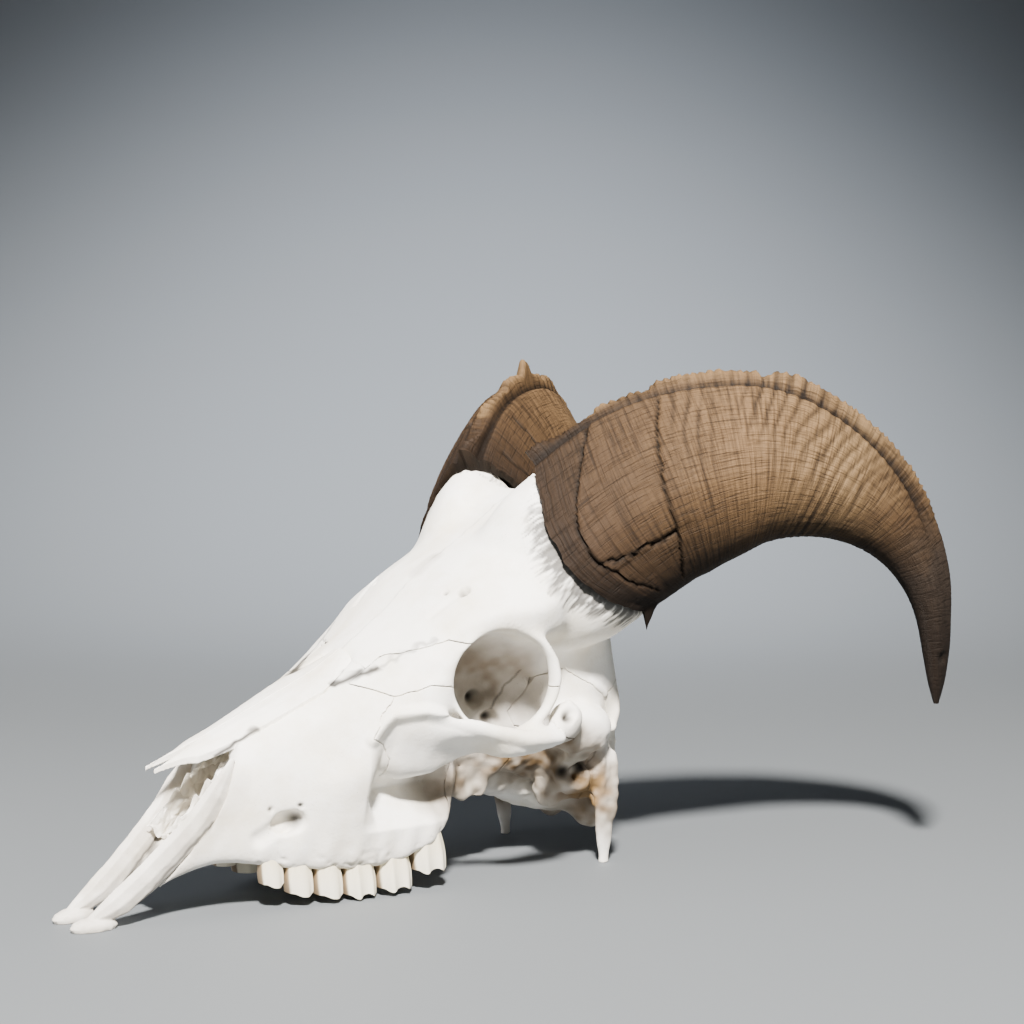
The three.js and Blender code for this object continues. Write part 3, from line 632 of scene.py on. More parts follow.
# How close points lie to a horn's rim, 1 at the rim and 0 beyond the burr, and the streaks that run from it.
def hornBurr(points):
    spot = mirrorLeft(points)
    middle, along, front, outward = (v[0] for v in hornFrames(1, np.zeros(1)))
    deep, wide = girthAt(np.zeros(1))[0]
    away = spot - middle
    turn = np.arctan2(away @ outward / wide, away @ front / deep)
    below = -(away @ along) - horn["rimDrop"] * np.maximum(0, np.sin(turn)) ** 2
    off = np.hypot(away @ outward / wide, away @ front / deep)
    degrees = np.degrees(turn)
    inSector = np.minimum(degrees - burr["from"], burr["to"] - degrees)
    sector = np.clip(inSector / burr["soft"], burr["least"], 1)
    close = np.clip(1 - below / burr["reach"], 0, 1) * (below > -4) * (off > 0.6) * (off < 1.5) * sector
    coarse = np.column_stack([turn * burr["radius"] / burr["streakMm"], below / burr["streakLong"], 0 * turn])
    streak = 0.6 * grain(coarse, 1, 5) + 0.4 * grain(coarse * 2.1, 1, 6)
    return close, streak


# The plate below the crest of the cheek leans in: height of the crest along the skull, the lean, and how far
# down it reaches before it fades.
cheekLean = {"crest": [[118, 72], [130, 81], [142, 81], [157, 77], [172, 71], [186, 66], [205, 64]],
             "slope": 0.42, "low": 46, "fade": 16, "from": 118, "to": 200}
holeFloors = {}  # filled while the holes are pressed in, for their painted shade


def leanCheeks(points):
    x, y, z = mirrorLeft(points).T
    crest = np.interp(x, *np.array(cheekLean["crest"]).T)
    below = np.clip(crest - z, 0, crest - cheekLean["low"])
    share = np.clip((z - cheekLean["low"] + cheekLean["fade"]) / cheekLean["fade"], 0, 1)
    share *= rampUp(x, cheekLean["from"], 8) * rampDown(x, cheekLean["to"], 25)
    points[:, 1] -= np.sign(points[:, 1]) * cheekLean["slope"] * below * share * rampUp(y, 30, 6)


def sculptSkull(mesh):
    points = readPoints(mesh)
    leanCheeks(points)
    normals = readVertices(mesh, "normal")
    mirrored = mirrorLeft(points)
    x, y, z = mirrored.T
    push = np.zeros(len(points))
    for name, mark in marks.items():
        push -= mark["strength"] * falloff(nearLine(mirrored, mark["line"]), mark["wide"])
        if name in holes:
            start = np.array(mark["line"][0])
            nearest = np.argmin(np.linalg.norm(mirrored - start, axis=1) + 99 * (points[:, 1] < 0))
            floor = mark["floor"] or start - normals[nearest] * (mark["strength"] + 2)
            holeFloors[name] = [start + normals[nearest], floor]
    cx, cz = rimBeads["middle"]
    turn = np.degrees(np.arctan2(z - cz, x - cx))
    onRim = falloff(np.hypot(x - cx, z - cz) - rimBeads["radius"], rimBeads["wide"]) * (y > rimBeads["out"])
    within = np.clip(np.minimum(turn - rimBeads["from"], rimBeads["to"] - turn) / 12, 0, 1)
    span = rimBeads["to"] - rimBeads["from"]
    wave = (turn - rimBeads["from"]) / span * math.pi * rimBeads["count"] + 3 * grain(points, 7, 3)
    beads = (np.abs(np.sin(wave)) - 0.5) * np.clip(0.7 + 0.8 * grain(points, 9, 4), 0, 1.4)
    push += onRim * within * rimBeads["tall"] * beads
    close, streak = hornBurr(points)
    push += burr["rough"] * close * np.minimum(streak, 0.2)
    gum = gumRows(x)[:, 0]
    inRow = (x > gumPits["from"]) & (x < gumPits["to"]) & (y > gumPits["out"])
    alveolus = falloff(z - gum - gumPits["up"], gumPits["reach"]) * inRow
    push += gumPits["deep"] * alveolus * np.minimum(grain(points, gumPits["size"], 7) + 0.1, 0)
    roots = np.cos((x - teeth["start"]) / rootBulges["apart"] * math.pi)
    push += rootBulges["tall"] * falloff(z - gum - rootBulges["up"], rootBulges["reach"]) * inRow * roots
    under = rampDown(z, skullBase["top"], 16) * rampUp(x, skullBase["front"], 12)
    under *= np.clip((z - skullBase["low"]) / 14, 0.25, 1)
    push += under * (1.5 * grain(points, 8, 16) + 0.8 * grain(points, 3.2, 17))
    push += 0.25 * grain(points, 14, 8) + 0.08 * grain(points, 4, 9)
    writePoints(mesh, points + normals * push[:, None])


# Egg-shaped fillings, middle and radii, that close the CAD's pit in the knuckle of the arch. A finer one is
# pressed in there.
plugs = [((213.5, 57, 73.5), (8, 6, 8)), ((209, 58, 71), (7, 5, 6))]


def makeSmoothSkull():
    copies = []
    for name in boneNodes:
        if name in thinNodes:
            continue
        piece = copyNode(name)
        if name.startswith("maxilla"):
            trimTeeth(piece, bothSides[name.split("_")[1]])
        remesh(piece, bone["copyVoxel"])
        swell = piece.modifiers.new("swell", "DISPLACE")
        swell.strength = bone["grow"] * mm
        swell.mid_level = 0
        applyModifiers(piece)
        copies.append(piece)
    for (x, y, z), size in plugs:
        for side in bothSides.values():
            deselectAll()
            bpy.ops.mesh.primitive_ico_sphere_add(subdivisions=4, radius=1)
            copies.append(bpy.context.active_object)
            ball = readVertices(copies[-1].data, "co")
            writePoints(copies[-1].data, ball * size + (x, side * y, z))
    deselectAll()
    for piece in copies:
        piece.select_set(True)
    bpy.context.view_layer.objects.active = copies[0]
    bpy.ops.object.join()
    whole = copies[0]
    whole.name = "smoothSkull"
    remesh(whole, bone["voxel"])
    relax(whole.data, bone["rounds"])
    meltForms(whole.data)
    sculptSkull(whole.data)
    points = readPoints(whole.data)
    points[:, 2] = np.maximum(points[:, 2], floorClear)
    writePoints(whole.data, points)
    print("smooth skull:", len(points), "points")
    return whole


# Side-view outlines [x, z] of the bones, in the order they are cut from the whole, and how far out from the
# median plane each cut starts.
sutures = {
    "zygomatic": {"from": 32, "line": [
        (119, 71), (124, 80), (131, 88), (145, 92), (155, 91), (163, 86), (176, 90), (193, 88), (212, 89),
        (209, 82), (203, 73), (206, 66), (222, 62), (208, 57), (206, 38), (164, 46), (138, 42), (130, 49),
        (130, 61), (126, 68)]},
    "lacrimal": {"from": 24, "line": [
        (119, 93), (128, 100), (142, 105), (157, 110.5), (172, 108), (176, 90), (163, 86), (155, 91),
        (145, 92), (131, 88)]},
    "temporal": {"from": 17, "line": [
        (200, 34), (208, 57), (222, 62), (206, 66), (203, 73), (209, 82), (212, 89), (226, 92), (240, 84),
        (251, 76), (255, 66), (243, 58), (238.5, 45), (238, 14), (222, 10)]},
    "occipital": {"from": 0, "line": [
        (255, 66), (251, 76), (262, 82), (300, 92), (300, -20), (238, -20), (238, 14), (238.5, 45),
        (243, 58)]},
    "parietal": {"from": 0, "to": 27, "line": [
        (226, 92), (240, 84), (251, 76), (262, 82), (300, 92), (300, 200), (262, 200), (254, 150),
        (242, 118)]},
    "sphenoid": {"from": 0, "line": [
        (171, 66), (206, 61), (222, 50), (238, 43), (238, -10), (166.5, -10), (166.5, 44)]},
    "frontal": {"from": 0, "line": [
        (128, 140), (128, 96), (142, 104.5), (157, 110), (171, 108), (173, 84), (170, 40), (180, -20),
        (420, -20), (420, 280), (128, 280)]},
}
suture = {"gap": 0.5, "step": 1.6, "wander": 0.55, "far": 120}
halfFace = [(-60, -40), (300, -40), (300, 300), (-60, 300)]


# A wandering outline, moved out by `grow`, drawn out sideways from y = near to y = far.
def sutureCutter(line, near, far, grow):
    corners = np.array(line, float)
    walked = []
    for a, b in zip(corners, np.roll(corners, -1, axis=0)):
        count = max(1, int(np.linalg.norm(b - a) / suture["step"]))
        walked.extend(a + (b - a) * k / count for k in range(count))
    points = np.array(walked)
    flat = np.column_stack([points[:, 0], np.zeros(len(points)), points[:, 1]])
    points[:, 0] += suture["wander"] * (grain(flat, 2.6, 51) + 0.5 * grain(flat, 9, 52))
    points[:, 1] += suture["wander"] * (grain(flat, 2.6, 53) + 0.5 * grain(flat, 9, 54))
    along = np.roll(points, -1, axis=0) - np.roll(points, 1, axis=0)
    along /= np.linalg.norm(along, axis=1)[:, None]
    area = np.sum(points[:, 0] * np.roll(points[:, 1], -1) - points[:, 1] * np.roll(points[:, 0], -1))
    points += np.sign(area) * grow * np.column_stack([along[:, 1], -along[:, 0]])
    low, high = min(near, far) - grow, max(near, far) + grow
    count = len(points)
    rings = [(x, y, z) for y in (low, high) for x, z in points]
    sidesOf = [(i, (i + 1) % count, count + (i + 1) % count, count + i) for i in range(count)]
    mesh = bpy.data.meshes.new("sutureCutter")
    mesh.from_pydata(rings, [], sidesOf + [tuple(range(count)), tuple(range(count, 2 * count))])
    writePoints(mesh, np.array(rings))
    cutter = newPiece("sutureCutter", mesh)
    editAll(cutter, outwardFaces, (bpy.ops.mesh.quads_convert_to_tris, {}))
    return cutter


# Cuts the bone inside an outline from the whole and gives it back as a piece of its own.
def cutBone(whole, name, line, near, far):
    piece = newPiece(name + ".bone", whole.data.copy())
    for target, operation, grow in ((piece, "INTERSECT", -0.5), (whole, "DIFFERENCE", 0.5)):
        cutter = sutureCutter(line, near, far, grow * suture["gap"])
        combine(target, cutter, operation)
        bpy.data.objects.remove(cutter)
    return piece


# Drops the crumbs that a cut leaves beside a bone.
def keepLargest(piece):
    label = piece.name
    editAll(piece, (bpy.ops.mesh.separate, {"type": "LOOSE"}))
    made = sorted(bpy.context.selected_objects, key=lambda o: len(o.data.vertices))
    for crumb in made[:-1]:
        bpy.data.objects.remove(crumb)
    made[-1].name = label
    return made[-1]


# Where brown stays in the bone, and where it is painted shade: on the cheek plate and in part on the snout.
stainsAndShade = {
    "orbit": brush(28, 0.8, (176, 30, 92), (198, 32, 84)),
    "basin": brush(27, 1, (168, 18, 42), (205, 26, 46), (228, 36, 42), (246, 34, 32), (262, 14, 25)),
    "temple": brush(16, 0.85, (212, 52, 60), (228, 46, 56), (240, 44, 46)),
    "innerCheek": brush(18, 0.6, (168, 20, 60), (196, 22, 58)),
    # A greyer tone on the premaxillae, partly painted shade.
    "snoutTipToneAndShade": brush(11, 0.42, (0, 9, 1), (12, 10, 3)),
    "snoutBarToneAndShade": brush(14, 0.42, (12, 10, 6), (38, 14, 25), (62, 18, 54)),
    # Painted shade on the plate below the cheek crest.
    "cheekPlateShade": brush(16, 0.13, (132, 46, 60), (160, 50, 58)),
    "alveolus": brush(8, 0.16, (80, 26, 20), (118, 36, 15), (158, 37, 24)),
    "noseInside": brush(17, 0.6, (45, 0, 38), (120, 0, 60)),
    "noseEnd": brush(7, 0.25, (30, 12, 12), (52, 16, 30)),
    "crown": brush(6, 0.4, (172, 0, 137), (180, 0, 142)),
}
# Dark lines wider than a suture: the open crack beside the nasal, cracks at the brow and in the orbit, and
# the lines beside the premaxilla.
openCracks = {
    "nasalCrack": brush(1.3, 0.95, (115, 19, 91.5), (124, 22, 95.5), (132, 27, 98.5)),
    "browCrack": brush(0.8, 0.5, (133, 27.5, 99), (143, 32, 105.5), (153, 39.5, 111)),
    "orbitCrack": brush(0.9, 0.6, (205, 38, 92), (200, 30, 82), (193, 26, 70)),
    "footLine": brush(1.5, 0.75, (24, 12, 6.5), (38, 14.5, 20.5), (50, 17, 32), (57, 18.5, 39)),
    "nasalSlit": brush(1.6, 0.9, (62, 15, 66), (70, 16, 70.5), (80, 17, 75.5)),
}
# The suture along the top of the frontal.
midline = {"from": 131, "to": 232, "low": 100, "wander": 0.9, "wide": 0.8, "dark": 0.5}


def paintBone(mesh):
    points = readPoints(mesh)
    mirrored = mirrorLeft(points)
    x, y, z = mirrored.T
    cloud = grain(points, 11, 11) * 0.5 + grain(points, 4, 12) * 0.5
    stainAndShade = np.zeros(len(points))
    for spot in stainsAndShade.values():
        reach = falloff(nearLine(mirrored, spot["line"]), spot["wide"])
        stainAndShade = np.maximum(stainAndShade, spot["strength"] * np.sqrt(reach) * np.clip(0.92 + 0.45 * cloud, 0, 1.15))
    dirtAndShade = np.zeros(len(points))
    # Painted shade: each hole is darkened towards its floor.
    for name in holes:
        reach = falloff(nearLine(mirrored, holeFloors[name]), marks[name]["wide"] * 0.95)
        dirtAndShade = np.maximum(dirtAndShade, 0.97 * reach)
    jitter = np.column_stack([grain(points, 3, seed) for seed in (61, 62, 63)]) * 0.7
    sideView = (1, 0, 1)
    for crack in openCracks.values():
        line = np.array(crack["line"])
        level = np.abs(y - line[:, 1].mean()) < 14
        reach = falloff(nearLine((mirrored + jitter) * sideView, line * sideView), crack["wide"])
        dirtAndShade = np.maximum(dirtAndShade, crack["strength"] * reach * level)
    close, streak = hornBurr(points)
    dirtAndShade = np.maximum(dirtAndShade, np.clip(close * 1.6 - 0.25 - streak * 1.3, 0, 0.85) * (close > 0.08))
    wander = midline["wander"] * grain(points * sideView, 3, 15)
    seam = np.clip(1 - np.abs(points[:, 1] - wander) / midline["wide"], 0, 1)
    dorsal = (z > midline["low"]) & (x > midline["from"]) & (x < midline["to"])
    dirtAndShade = np.maximum(dirtAndShade, midline["dark"] * seam * dorsal * np.clip(0.6 + cloud, 0, 1))
    inRow = (x > gumPits["from"]) * (x < gumPits["dirtTo"]) * (y > gumPits["out"])
    pits = falloff(z - gumRows(x)[:, 0] - gumPits["up"], gumPits["dirtReach"]) * inRow
    dirtAndShade = np.maximum(dirtAndShade, 0.5 * pits * np.clip(-grain(points, gumPits["size"], 7) - 0.45, 0, 0.5) * 2)
    writeAttribute(mesh, "stainAndShade", stainAndShade)
    writeAttribute(mesh, "dirtAndShade", dirtAndShade)


def finishBone(piece, name):
    paintBone(piece.data)
    finishPiece(piece, bleachedBone, "bone", name)
    print("bone:", name, len(piece.data.polygons), "faces")


# The front end of each nasal runs out to a point of its own.
nasalTip = {"front": 38.5, "back": 62, "out": 4.6, "least": 0.14}


def sharpenTip(points):
    run = (points[:, 0] - nasalTip["front"]) / (nasalTip["back"] - nasalTip["front"])
    share = np.clip(run, nasalTip["least"], 1)
    middle = nasalTip["out"] * np.sign(points[:, 1])
    points[:, 1] = middle + (points[:, 1] - middle) * share


def makeBones():
    whole = makeSmoothSkull()
    pieces = {}
    for kind, cut in sutures.items():
        if kind + "_left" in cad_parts:
            for label, side in bothSides.items():
                name = f"{kind}_{label}"
                pieces[name] = cutBone(whole, name, cut["line"], side * cut["from"], side * suture["far"])
        else:
            reach = cut.get("to", suture["far"])
            pieces[kind] = cutBone(whole, kind, cut["line"], -reach, reach)
    for label, side in bothSides.items():
        name = "maxilla_" + label
        pieces[name] = cutBone(whole, name, halfFace, 0, side * suture["far"])
    bpy.data.objects.remove(whole)
    for name, piece in pieces.items():
        finishBone(keepLargest(piece), name)
    for name in thinNodes:
        piece = copyNode(name)
        remesh(piece, bone["thinVoxel"])
        relax(piece.data, bone["thinRounds"])
        points = readPoints(piece.data)
        normals = readVertices(piece.data, "normal")
        if name.startswith("nasal"):
            sharpenTip(points)
        points += normals * (0.2 * grain(points, 6, 18) + 0.08 * grain(points, 2, 19))[:, None]
        points[:, 2] = np.maximum(points[:, 2], floorClear)
        writePoints(piece.data, points)
        finishBone(piece, name)


# Horns

horn = {
    "base": (240, 42, 150), "length": 240.4, "steps": 24, "rows": 300, "columns": 200,
    "girth": [[0, 45, 30.5], [0.126, 44.9, 29.8], [0.246, 42.4, 28.1], [0.345, 39.3, 26.1],
              [0.445, 33.3, 22.2], [0.534, 27.2, 18.1], [0.619, 20.9, 14.1], [0.69, 15.8, 10.9],
              [0.76, 11.9, 8.4], [0.827, 8.8, 6.4], [0.905, 6.4, 4.9], [0.97, 3.4, 2.8], [1, 1.2, 1]],
    "heading": [[0, 38], [0.063, 33.7], [0.18, 20.3], [0.29, 7.6], [0.39, -11.6], [0.484, -25.3],
                [0.57, -39.1], [0.647, -53], [0.718, -64.5], [0.786, -77.3], [0.857, -84.4], [1, -89.5]],
    "splay": [[0, 35], [0.5, 30.4], [1, 19.8]],
    "flange": [[0, 7.5], [0.03, 6], [0.06, 3], [0.1, 2.4], [0.112, 2.6], [0.122, 4.2], [0.175, 4.4],
               [0.19, 3], [0.206, 6.4], [0.3, 6], [0.335, 5.8], [0.347, 3.4], [0.36, 7.4], [0.42, 7],
               [0.5, 5.6], [0.6, 4.4], [0.68, 3.6], [1, 3.6]],
    "rimDrop": 17, "rimFade": 6, "rimEdge": 0.035, "keel": 7, "keelFade": 2.2, "keelSharp": 10,
    "narrow": 0.22, "wall": 5.5, "socket": 8.3, "lining": 0.06,
    "ringMm": 4.7, "ringTall": 0.42, "lineMm": 2.3, "lineTall": 0.14, "ringBow": 9,
}
girthAt = smoothRows(horn["girth"])
headingAt = smoothRows(horn["heading"])
splayAt = smoothRows(horn["splay"])


# Middle, direction, front and outward side of the horn at positions from 0 to 1 along it.
def hornFrames(side, t):
    def directions(at):
        pitch = np.radians(headingAt(at)[:, 0])
        yaw = np.radians(splayAt(at)[:, 0])
        level = np.stack([np.cos(yaw), side * np.sin(yaw), 0 * yaw], 1)
        rise = np.array([0, 0, 1])
        along = level * np.cos(pitch)[:, None] + rise * np.sin(pitch)[:, None]
        front = -level * np.sin(pitch)[:, None] + rise * np.cos(pitch)[:, None]
        outward = np.stack([-np.sin(yaw), side * np.cos(yaw), 0 * yaw], 1)
        return along, front, outward

    marksAt = np.linspace(0, 1, horn["steps"] + 1)
    step = directions(marksAt)[0][:-1] * horn["length"] / horn["steps"]
    x, y, z = horn["base"]
    middles = np.vstack([[0, 0, 0], np.cumsum(step, axis=0)]) + (x, side * y, z)
    middle = smoothRows(np.column_stack([marksAt, middles]))(t)
    return (middle, *directions(t))


# A point on the plain sheath at a position along it and an angle from the keel, outward positive.
def hornSurface(side, t, turn, inset=0):
    middle, along, front, outward = hornFrames(side, t)
    deep, wide = girthAt(t).T
    forward = np.cos(turn)
    keel = horn["keel"] * np.minimum(1, (1 - t) * horn["keelFade"])
    narrow = 1 - horn["narrow"] * np.maximum(0, forward)
    crest = keel * np.maximum(0, forward) ** horn["keelSharp"]
    reachFront = (deep - keel / 2 - inset) * forward + crest * (inset == 0)
    reachSide = (wide - inset) * narrow * np.sin(turn)
    outer = np.maximum(0, np.sin(turn)) ** 2
    drop = horn["rimDrop"] * np.maximum(0, 1 - t * horn["rimFade"]) * outer
    return middle + front * reachFront[:, None] + outward * reachSide[:, None] - along * drop[:, None]


# Splits in the sheath, as positions along the horn and degrees from the keel on the outer side. The first two
# bound a plate that overlaps the band at the base.
cracks = [
    [(0.1, 16), (0.09, 24), (0.062, 49), (0.035, 75), (0.033, 99)],
    [(0.033, 99), (0.055, 104), (0.05, 107), (0.08, 107), (0.076, 110), (0.11, 109), (0.106, 112),
     (0.15, 112)],
    [(0.2, 22), (0.185, 40), (0.168, 62), (0.155, 83), (0.15, 112)],
    [(0.15, 112), (0.14, 130), (0.12, 150)],
    [(0.033, 99), (0.045, 125), (0.06, 145)],
    [(0.05, -30), (0.06, -60), (0.045, -85)],
    [(0.14, -25), (0.15, -70), (0.13, -110)],
]
crackSize = {"wide": 0.72, "deep": 1.3, "radius": 30}
plate = {"edge": [[16, 0.1], [24, 0.09], [49, 0.062], [75, 0.035], [99, 0.033], [113, 0.033]],
         "tall": 1.0, "low": 111}
chip = {"at": 0.91, "turn": 63, "wide": 4, "deep": 1.6}
# What hangs from the rim (angle, half width, length), how far the sheath has lifted off the bone inside, and
# the spur on the keel (position, height).
rimForm = {"left": {"hang": (162, 5, 9), "gape": 0, "spur": (0.2, 0)},
           "right": {"hang": (-62, 13, 6), "gape": 5, "spur": (0.285, 7)}}


def makeHorn(label, side):
    inner = horn["lining"]  # the share of rows that line the socket
    plateEdge = smoothRows(plate["edge"])
    flangeTable = np.array(horn["flange"])
    hangAt, hangWide, hangLong = rimForm[label]["hang"]
    spurAt, spurTall = rimForm[label]["spur"]

    def shape(u, v):
        t = np.clip((u - inner) / (1 - inner), 0, 1)
        turn = (v * 2 - 1) * math.pi
        degrees = np.degrees(turn)
        base = hornSurface(side, t, turn)
        middle, along, front, outward = hornFrames(side, t)
        deep, wide = girthAt(t).T
        arc = t * horn["length"]
        loop = np.stack([np.cos(turn) * wide, np.sin(turn) * wide, arc], 1)
        level = loop * (0, 0, 1)  # the same all round the horn
        forward = np.cos(turn)
        body = rampUp(t, 0.13, 0.12) * rampDown(t, 0.76, 0.16)
        bowed = arc - horn["ringBow"] * np.maximum(0, forward) ** 2 * np.clip(t * 4, 0, 1)
        bowed = bowed + 2.6 * grain(loop, 24, 21) + 0.7 * grain(loop, 7, 22) + 2 * grain(level, 13, 38)
        ring = 0.5 + 0.5 * np.cos(bowed / horn["ringMm"] * 2 * math.pi)
        ring = ring ** 0.7
        strength = np.clip(0.55 + 0.9 * grain(loop * (0.6, 0.6, 1), 14, 23) + 0.3 * forward, 0.05, 1.4)
        line = 0.5 + 0.5 * np.cos(bowed / horn["lineMm"] * 2 * math.pi + 2 * grain(loop, 5, 24))
        push = body * horn["ringTall"] * strength * (ring - 0.5)
        push += horn["lineTall"] * (line - 0.5) * rampDown(t, 0.95, 0.1)
        push += 0.5 * grain(loop, 40, 36) * rampDown(t, 0.9, 0.2)
        fibre = grain(loop * (1, 1, 0.07), 1.1, 25)
        push += 0.13 * fibre * np.clip((1 - t) * 2, 0.2, 1)
        bark = np.clip(1 - t / 0.16, 0, 1)
        push += bark * (0.35 * grain(loop * (0.4, 0.4, 1), 3.2, 26) + 0.3 * np.minimum(grain(loop, 2, 27), 0))
        slit = np.zeros(len(t))
        girdle = turn * crackSize["radius"]
        spot = np.stack([arc + 0.7 * grain(loop, 3, 28), girdle + 0.7 * grain(loop, 3, 29)], 1)
        width = crackSize["wide"] * (1 + 0.45 * grain(loop, 9, 30))
        for path in cracks:
            walked = [(at * horn["length"], math.radians(angle) * crackSize["radius"]) for at, angle in path]
            slit = np.maximum(slit, falloff(nearLine(spot, walked), width))
        push -= crackSize["deep"] * slit
        past = np.clip((t - plateEdge(degrees)[:, 0]) / 0.006, 0, 1)
        above = np.clip((plate["low"] + 1.6 * grain(loop, 4, 37) - degrees) / 2.5, 0, 1)
        above = np.maximum(above, rampUp(t, 0.15, 0.04))
        push += plate["tall"] * past * above * rampUp(degrees, 12, 8) * rampDown(t, 0.5, 0.3)
        chipAway = np.hypot((t - chip["at"]) * horn["length"], (degrees - chip["turn"]) / 57 * wide)
        nick = falloff(chipAway, chip["wide"])
        push -= chip["deep"] * nick
        # the flange along the keel: a rolled, cross-ribbed edge with a groove beside it
        running = rampDown(t, 0.7, 0.08)
        beside = np.degrees(9 / deep)  # about 9 mm round from the keel
        crest = np.exp(-(degrees / (beside * 0.62)) ** 4) * running
        grooveAndShade = np.exp(-((np.abs(degrees) - beside * 1.15) / (beside * 0.3)) ** 2) * running
        tall = np.interp(t, flangeTable[:, 0], flangeTable[:, 1])
        ribs = np.sin((arc + 1.2 * grain(loop, 5, 39)) * 2 * math.pi / 2.6)
        ruffle = 1.2 * grain(loop * (0.3, 0.3, 1), 4, 31) + 0.6 * ribs
        lift = crest * (tall - 4.2 + ruffle + spurTall * falloff((t - spurAt) * horn["length"], 4.5))
        sway = crest * (1.8 * grain(level, 11, 32) + 0.9 * grain(level, 4, 35))
        push -= 2.8 * grooveAndShade
        away = base - middle
        away /= np.linalg.norm(away, axis=1)[:, None] + 1e-9
        points = base + away * push[:, None] + front * lift[:, None] + outward * sway[:, None]
        edge = np.clip(1 - t / horn["rimEdge"], 0, 1)
        hang = hangLong * falloff(degrees - hangAt, hangWide)
        gape = rimForm[label]["gape"] * np.clip(-np.sin(turn) * 1.4, 0, 1)
        ragged = 0.9 * grain(loop, 3, 33) + 1.2 * grain(loop, 11, 34) - gape - 0.4
        points -= along * (edge * ragged)[:, None]
        points[:, 2] -= edge * hang
        # the socket: from the middle of its floor, out and down its wall to the rim
        depth = np.clip(u / inner, 0, 1)
        wallShare = rampUp(depth, 0.45, 0.5)
        floorShare = np.clip(depth / 0.45, 0, 1)
        lined = hornSurface(side, 0 * t, turn, horn["wall"] * 0.8)
        lined = lined - along * (wallShare * np.minimum(ragged, 0))[:, None]
        lifted = lined + along * ((1 - wallShare) * horn["socket"])[:, None]
        core = middle + along * horn["socket"]
        inside = core + (lifted - core) * floorShare[:, None]
        lip = rampUp(depth, 0.95, 0.05)[:, None]
        rimPoints = hornSurface(side, 0 * t, turn) - along * ragged[:, None]
        rimPoints[:, 2] -= hang
        inside = inside * (1 - lip) + rimPoints * lip
        within = u < inner
        rings = body * strength * np.clip(0.62 - ring, 0, 1) * 0.95
        rings = rings + 0.16 * (1 - line) * rampDown(t, 0.9, 0.2)
        # Painted shade under the horn, partly darker pigment as well.
        shadeAndPigmentUnder = 0.75 * np.clip((np.abs(degrees) - 95) / 60, 0, 1)
        paint = {
            "age": np.where(within, 0, t),
            # Dark paint in the ring troughs, fine lines and base band; painted shade under the horn, in the
            # groove beside the keel and inside the socket, where the crack paint is painted shade too.
            "grooveAndShade": np.where(within, 0.8, rings + shadeAndPigmentUnder + 0.55 * bark * (1 - past) + 0.85 * grooveAndShade),
            "keel": crest * (t > 0.1) * np.clip(0.55 + 0.5 * ruffle, 0, 0.9),
            "crack": np.where(within, 0.6, np.maximum(slit, nick * 0.3)),
        }
        return np.where(within[:, None], inside, points), paint

    piece = wrapGrid(f"horn_{label}.sheath", horn["rows"], horn["columns"], shape)
    finishPiece(piece, weatheredHorn, "horn", "horn_" + label)
    print("horn:", label, len(piece.data.polygons), "faces")


# Teeth: length along the row, width, lobes and crown height of each, from the second premolar back.
teeth = {
    "sizes": [(10.5, 9.5, 1, 9), (12, 11.5, 1, 11.5), (12.3, 13.5, 1, 12.5),
              (15, 15, 2, 13), (16.5, 15.5, 2, 13), (17, 14.5, 2, 13)],
    "start": 77.5, "spacing": 0.5, "rootDepth": 6, "lowest": 0.3, "rib": 0.1, "lean": 0.1,
    "rows": 26, "columns": 72,
}


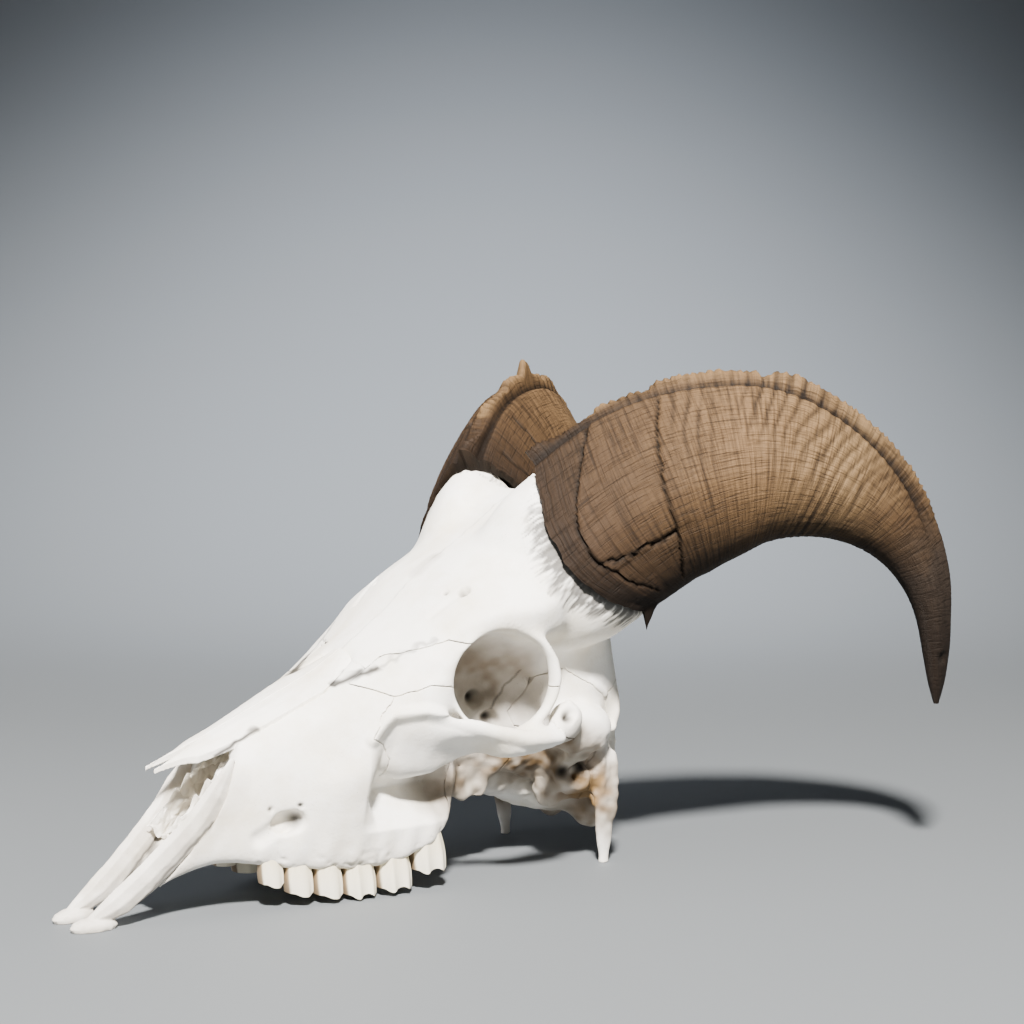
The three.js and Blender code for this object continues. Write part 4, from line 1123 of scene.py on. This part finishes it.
def makeTooth(name, side, x, length, width, lobes, crown):
    gum, half = gumRows(np.array([x]))[0]
    middleY = half - width / 2 + 0.8

    def shape(u, v):
        turn = v * 2 * math.pi
        down = rampUp(u, 0.08, 0.74)  # from the root's top to the chewing edge
        cap = rampUp(u, 0.82, 0.18)
        root = np.clip(u / 0.08, 0, 1)
        along, out = np.cos(turn), np.sin(turn)
        outer = np.maximum(0, out)
        ribs = np.cos(along * math.pi * (lobes + 1) + math.pi * (lobes + 1))
        lobeCut = 1 - 0.2 * np.cos(along * math.pi * lobes) * np.maximum(0, -out) * (-1) ** lobes
        flare = 0.82 + 0.22 * np.sin(np.minimum(down * 1.15, 1) * math.pi / 2) - 0.08 * down ** 3
        a = np.sign(along) * np.abs(along) ** 0.7 * length / 2 * flare
        b = np.sign(out) * np.abs(out) ** 0.7 * width / 2 * flare * lobeCut
        b = b + outer ** 0.5 * teeth["rib"] * width / 2 * ribs * (0.3 + 0.7 * down)
        shrink = root * (1 - 0.92 * cap)
        high = gum + teeth["rootDepth"]
        low = gum + 1 - crown
        point = 0.5 + 0.5 * np.cos(along * math.pi * lobes + math.pi * (lobes - 1) - 0.5)
        cusp = 2.0 * point * outer * rampUp(down, 0.7, 0.3)
        z = high + (low + 1 - high) * down - cusp * (1 - cap) + 1.8 * np.sin(cap * math.pi / 2)
        z = np.maximum(z, teeth["lowest"])
        slant = teeth["lean"] * (gum - z)
        between = np.clip((np.abs(along) - 0.9) / 0.07, 0, 1)
        paint = {"neck": 1 - rampUp(down, 0.3, 0.5),
                 "fold": np.maximum(0.85 * between, 0.5 * (cap > 0.15) * cap)}
        return np.stack([x + a * shrink + slant, side * (middleY + b * shrink), z], 1), paint

    piece = wrapGrid(name, teeth["rows"], teeth["columns"], shape)
    finishPiece(piece, creamEnamel, "bone")


def makeTeeth():
    for label, side in bothSides.items():
        front = teeth["start"]
        for i, (length, width, lobes, crown) in enumerate(teeth["sizes"]):
            makeTooth(f"tooth_{label}_{i + 1}", side, front + length / 2, length, width, lobes, crown)
            front += length + teeth["spacing"]
    print("teeth made")


# Turbinate: a crumpled sheet of thin bone that shows inside the nasal opening.
turbinate = {"start": (46, 9, 30), "end": (84, 10, 66), "long": 44, "wide": 15, "fold": 3.2, "thick": 0.5,
             "rows": 90, "columns": 44}


def makeTurbinate(label, side):
    start, end = np.array(turbinate["start"], float), np.array(turbinate["end"], float)
    axis = (end - start) / np.linalg.norm(end - start)
    over = np.cross(axis, (0, 1, 0))

    def shape(u, v):
        spot = np.column_stack([u * turbinate["long"], v * turbinate["wide"], 0 * u])
        crumple = grain(spot, 5, 71) + 0.55 * grain(spot, 2.2, 72) + 0.25 * grain(spot, 1.1, 73)
        frill = grain(spot, 3, 74) + 0.5 * grain(spot, 1.4, 75)
        curl = v * 2.4 + 0.3 * crumple
        radius = turbinate["wide"] / 2 * (1 - 0.35 * v) * (0.7 + 0.3 * np.sin(u * math.pi))
        place = start + u[:, None] * (end - start) + axis * (1.6 * frill)[:, None]
        place = place + over * ((v - 0.5) * turbinate["wide"] + 1.2 * frill)[:, None]
        place[:, 1] += np.cos(curl) * radius * 0.3 + turbinate["fold"] * 0.6 * crumple
        paint = {"stainAndShade": 0.12 + 0.2 * frill, "dirtAndShade": np.clip(-crumple * 0.3 - 0.1, 0, 0.3)}
        return place * (1, side, 1), paint

    piece = wrapGrid("turbinate_" + label, turbinate["rows"], turbinate["columns"], shape)
    thicken = piece.modifiers.new("thicken", "SOLIDIFY")
    thicken.thickness = turbinate["thick"] * mm
    thicken.offset = 0
    applyModifiers(piece)
    finishPiece(piece, bleachedBone, "bone")


makeBones()
for label, side in bothSides.items():
    makeHorn(label, side)
    makeTurbinate(label, side)
makeTeeth()
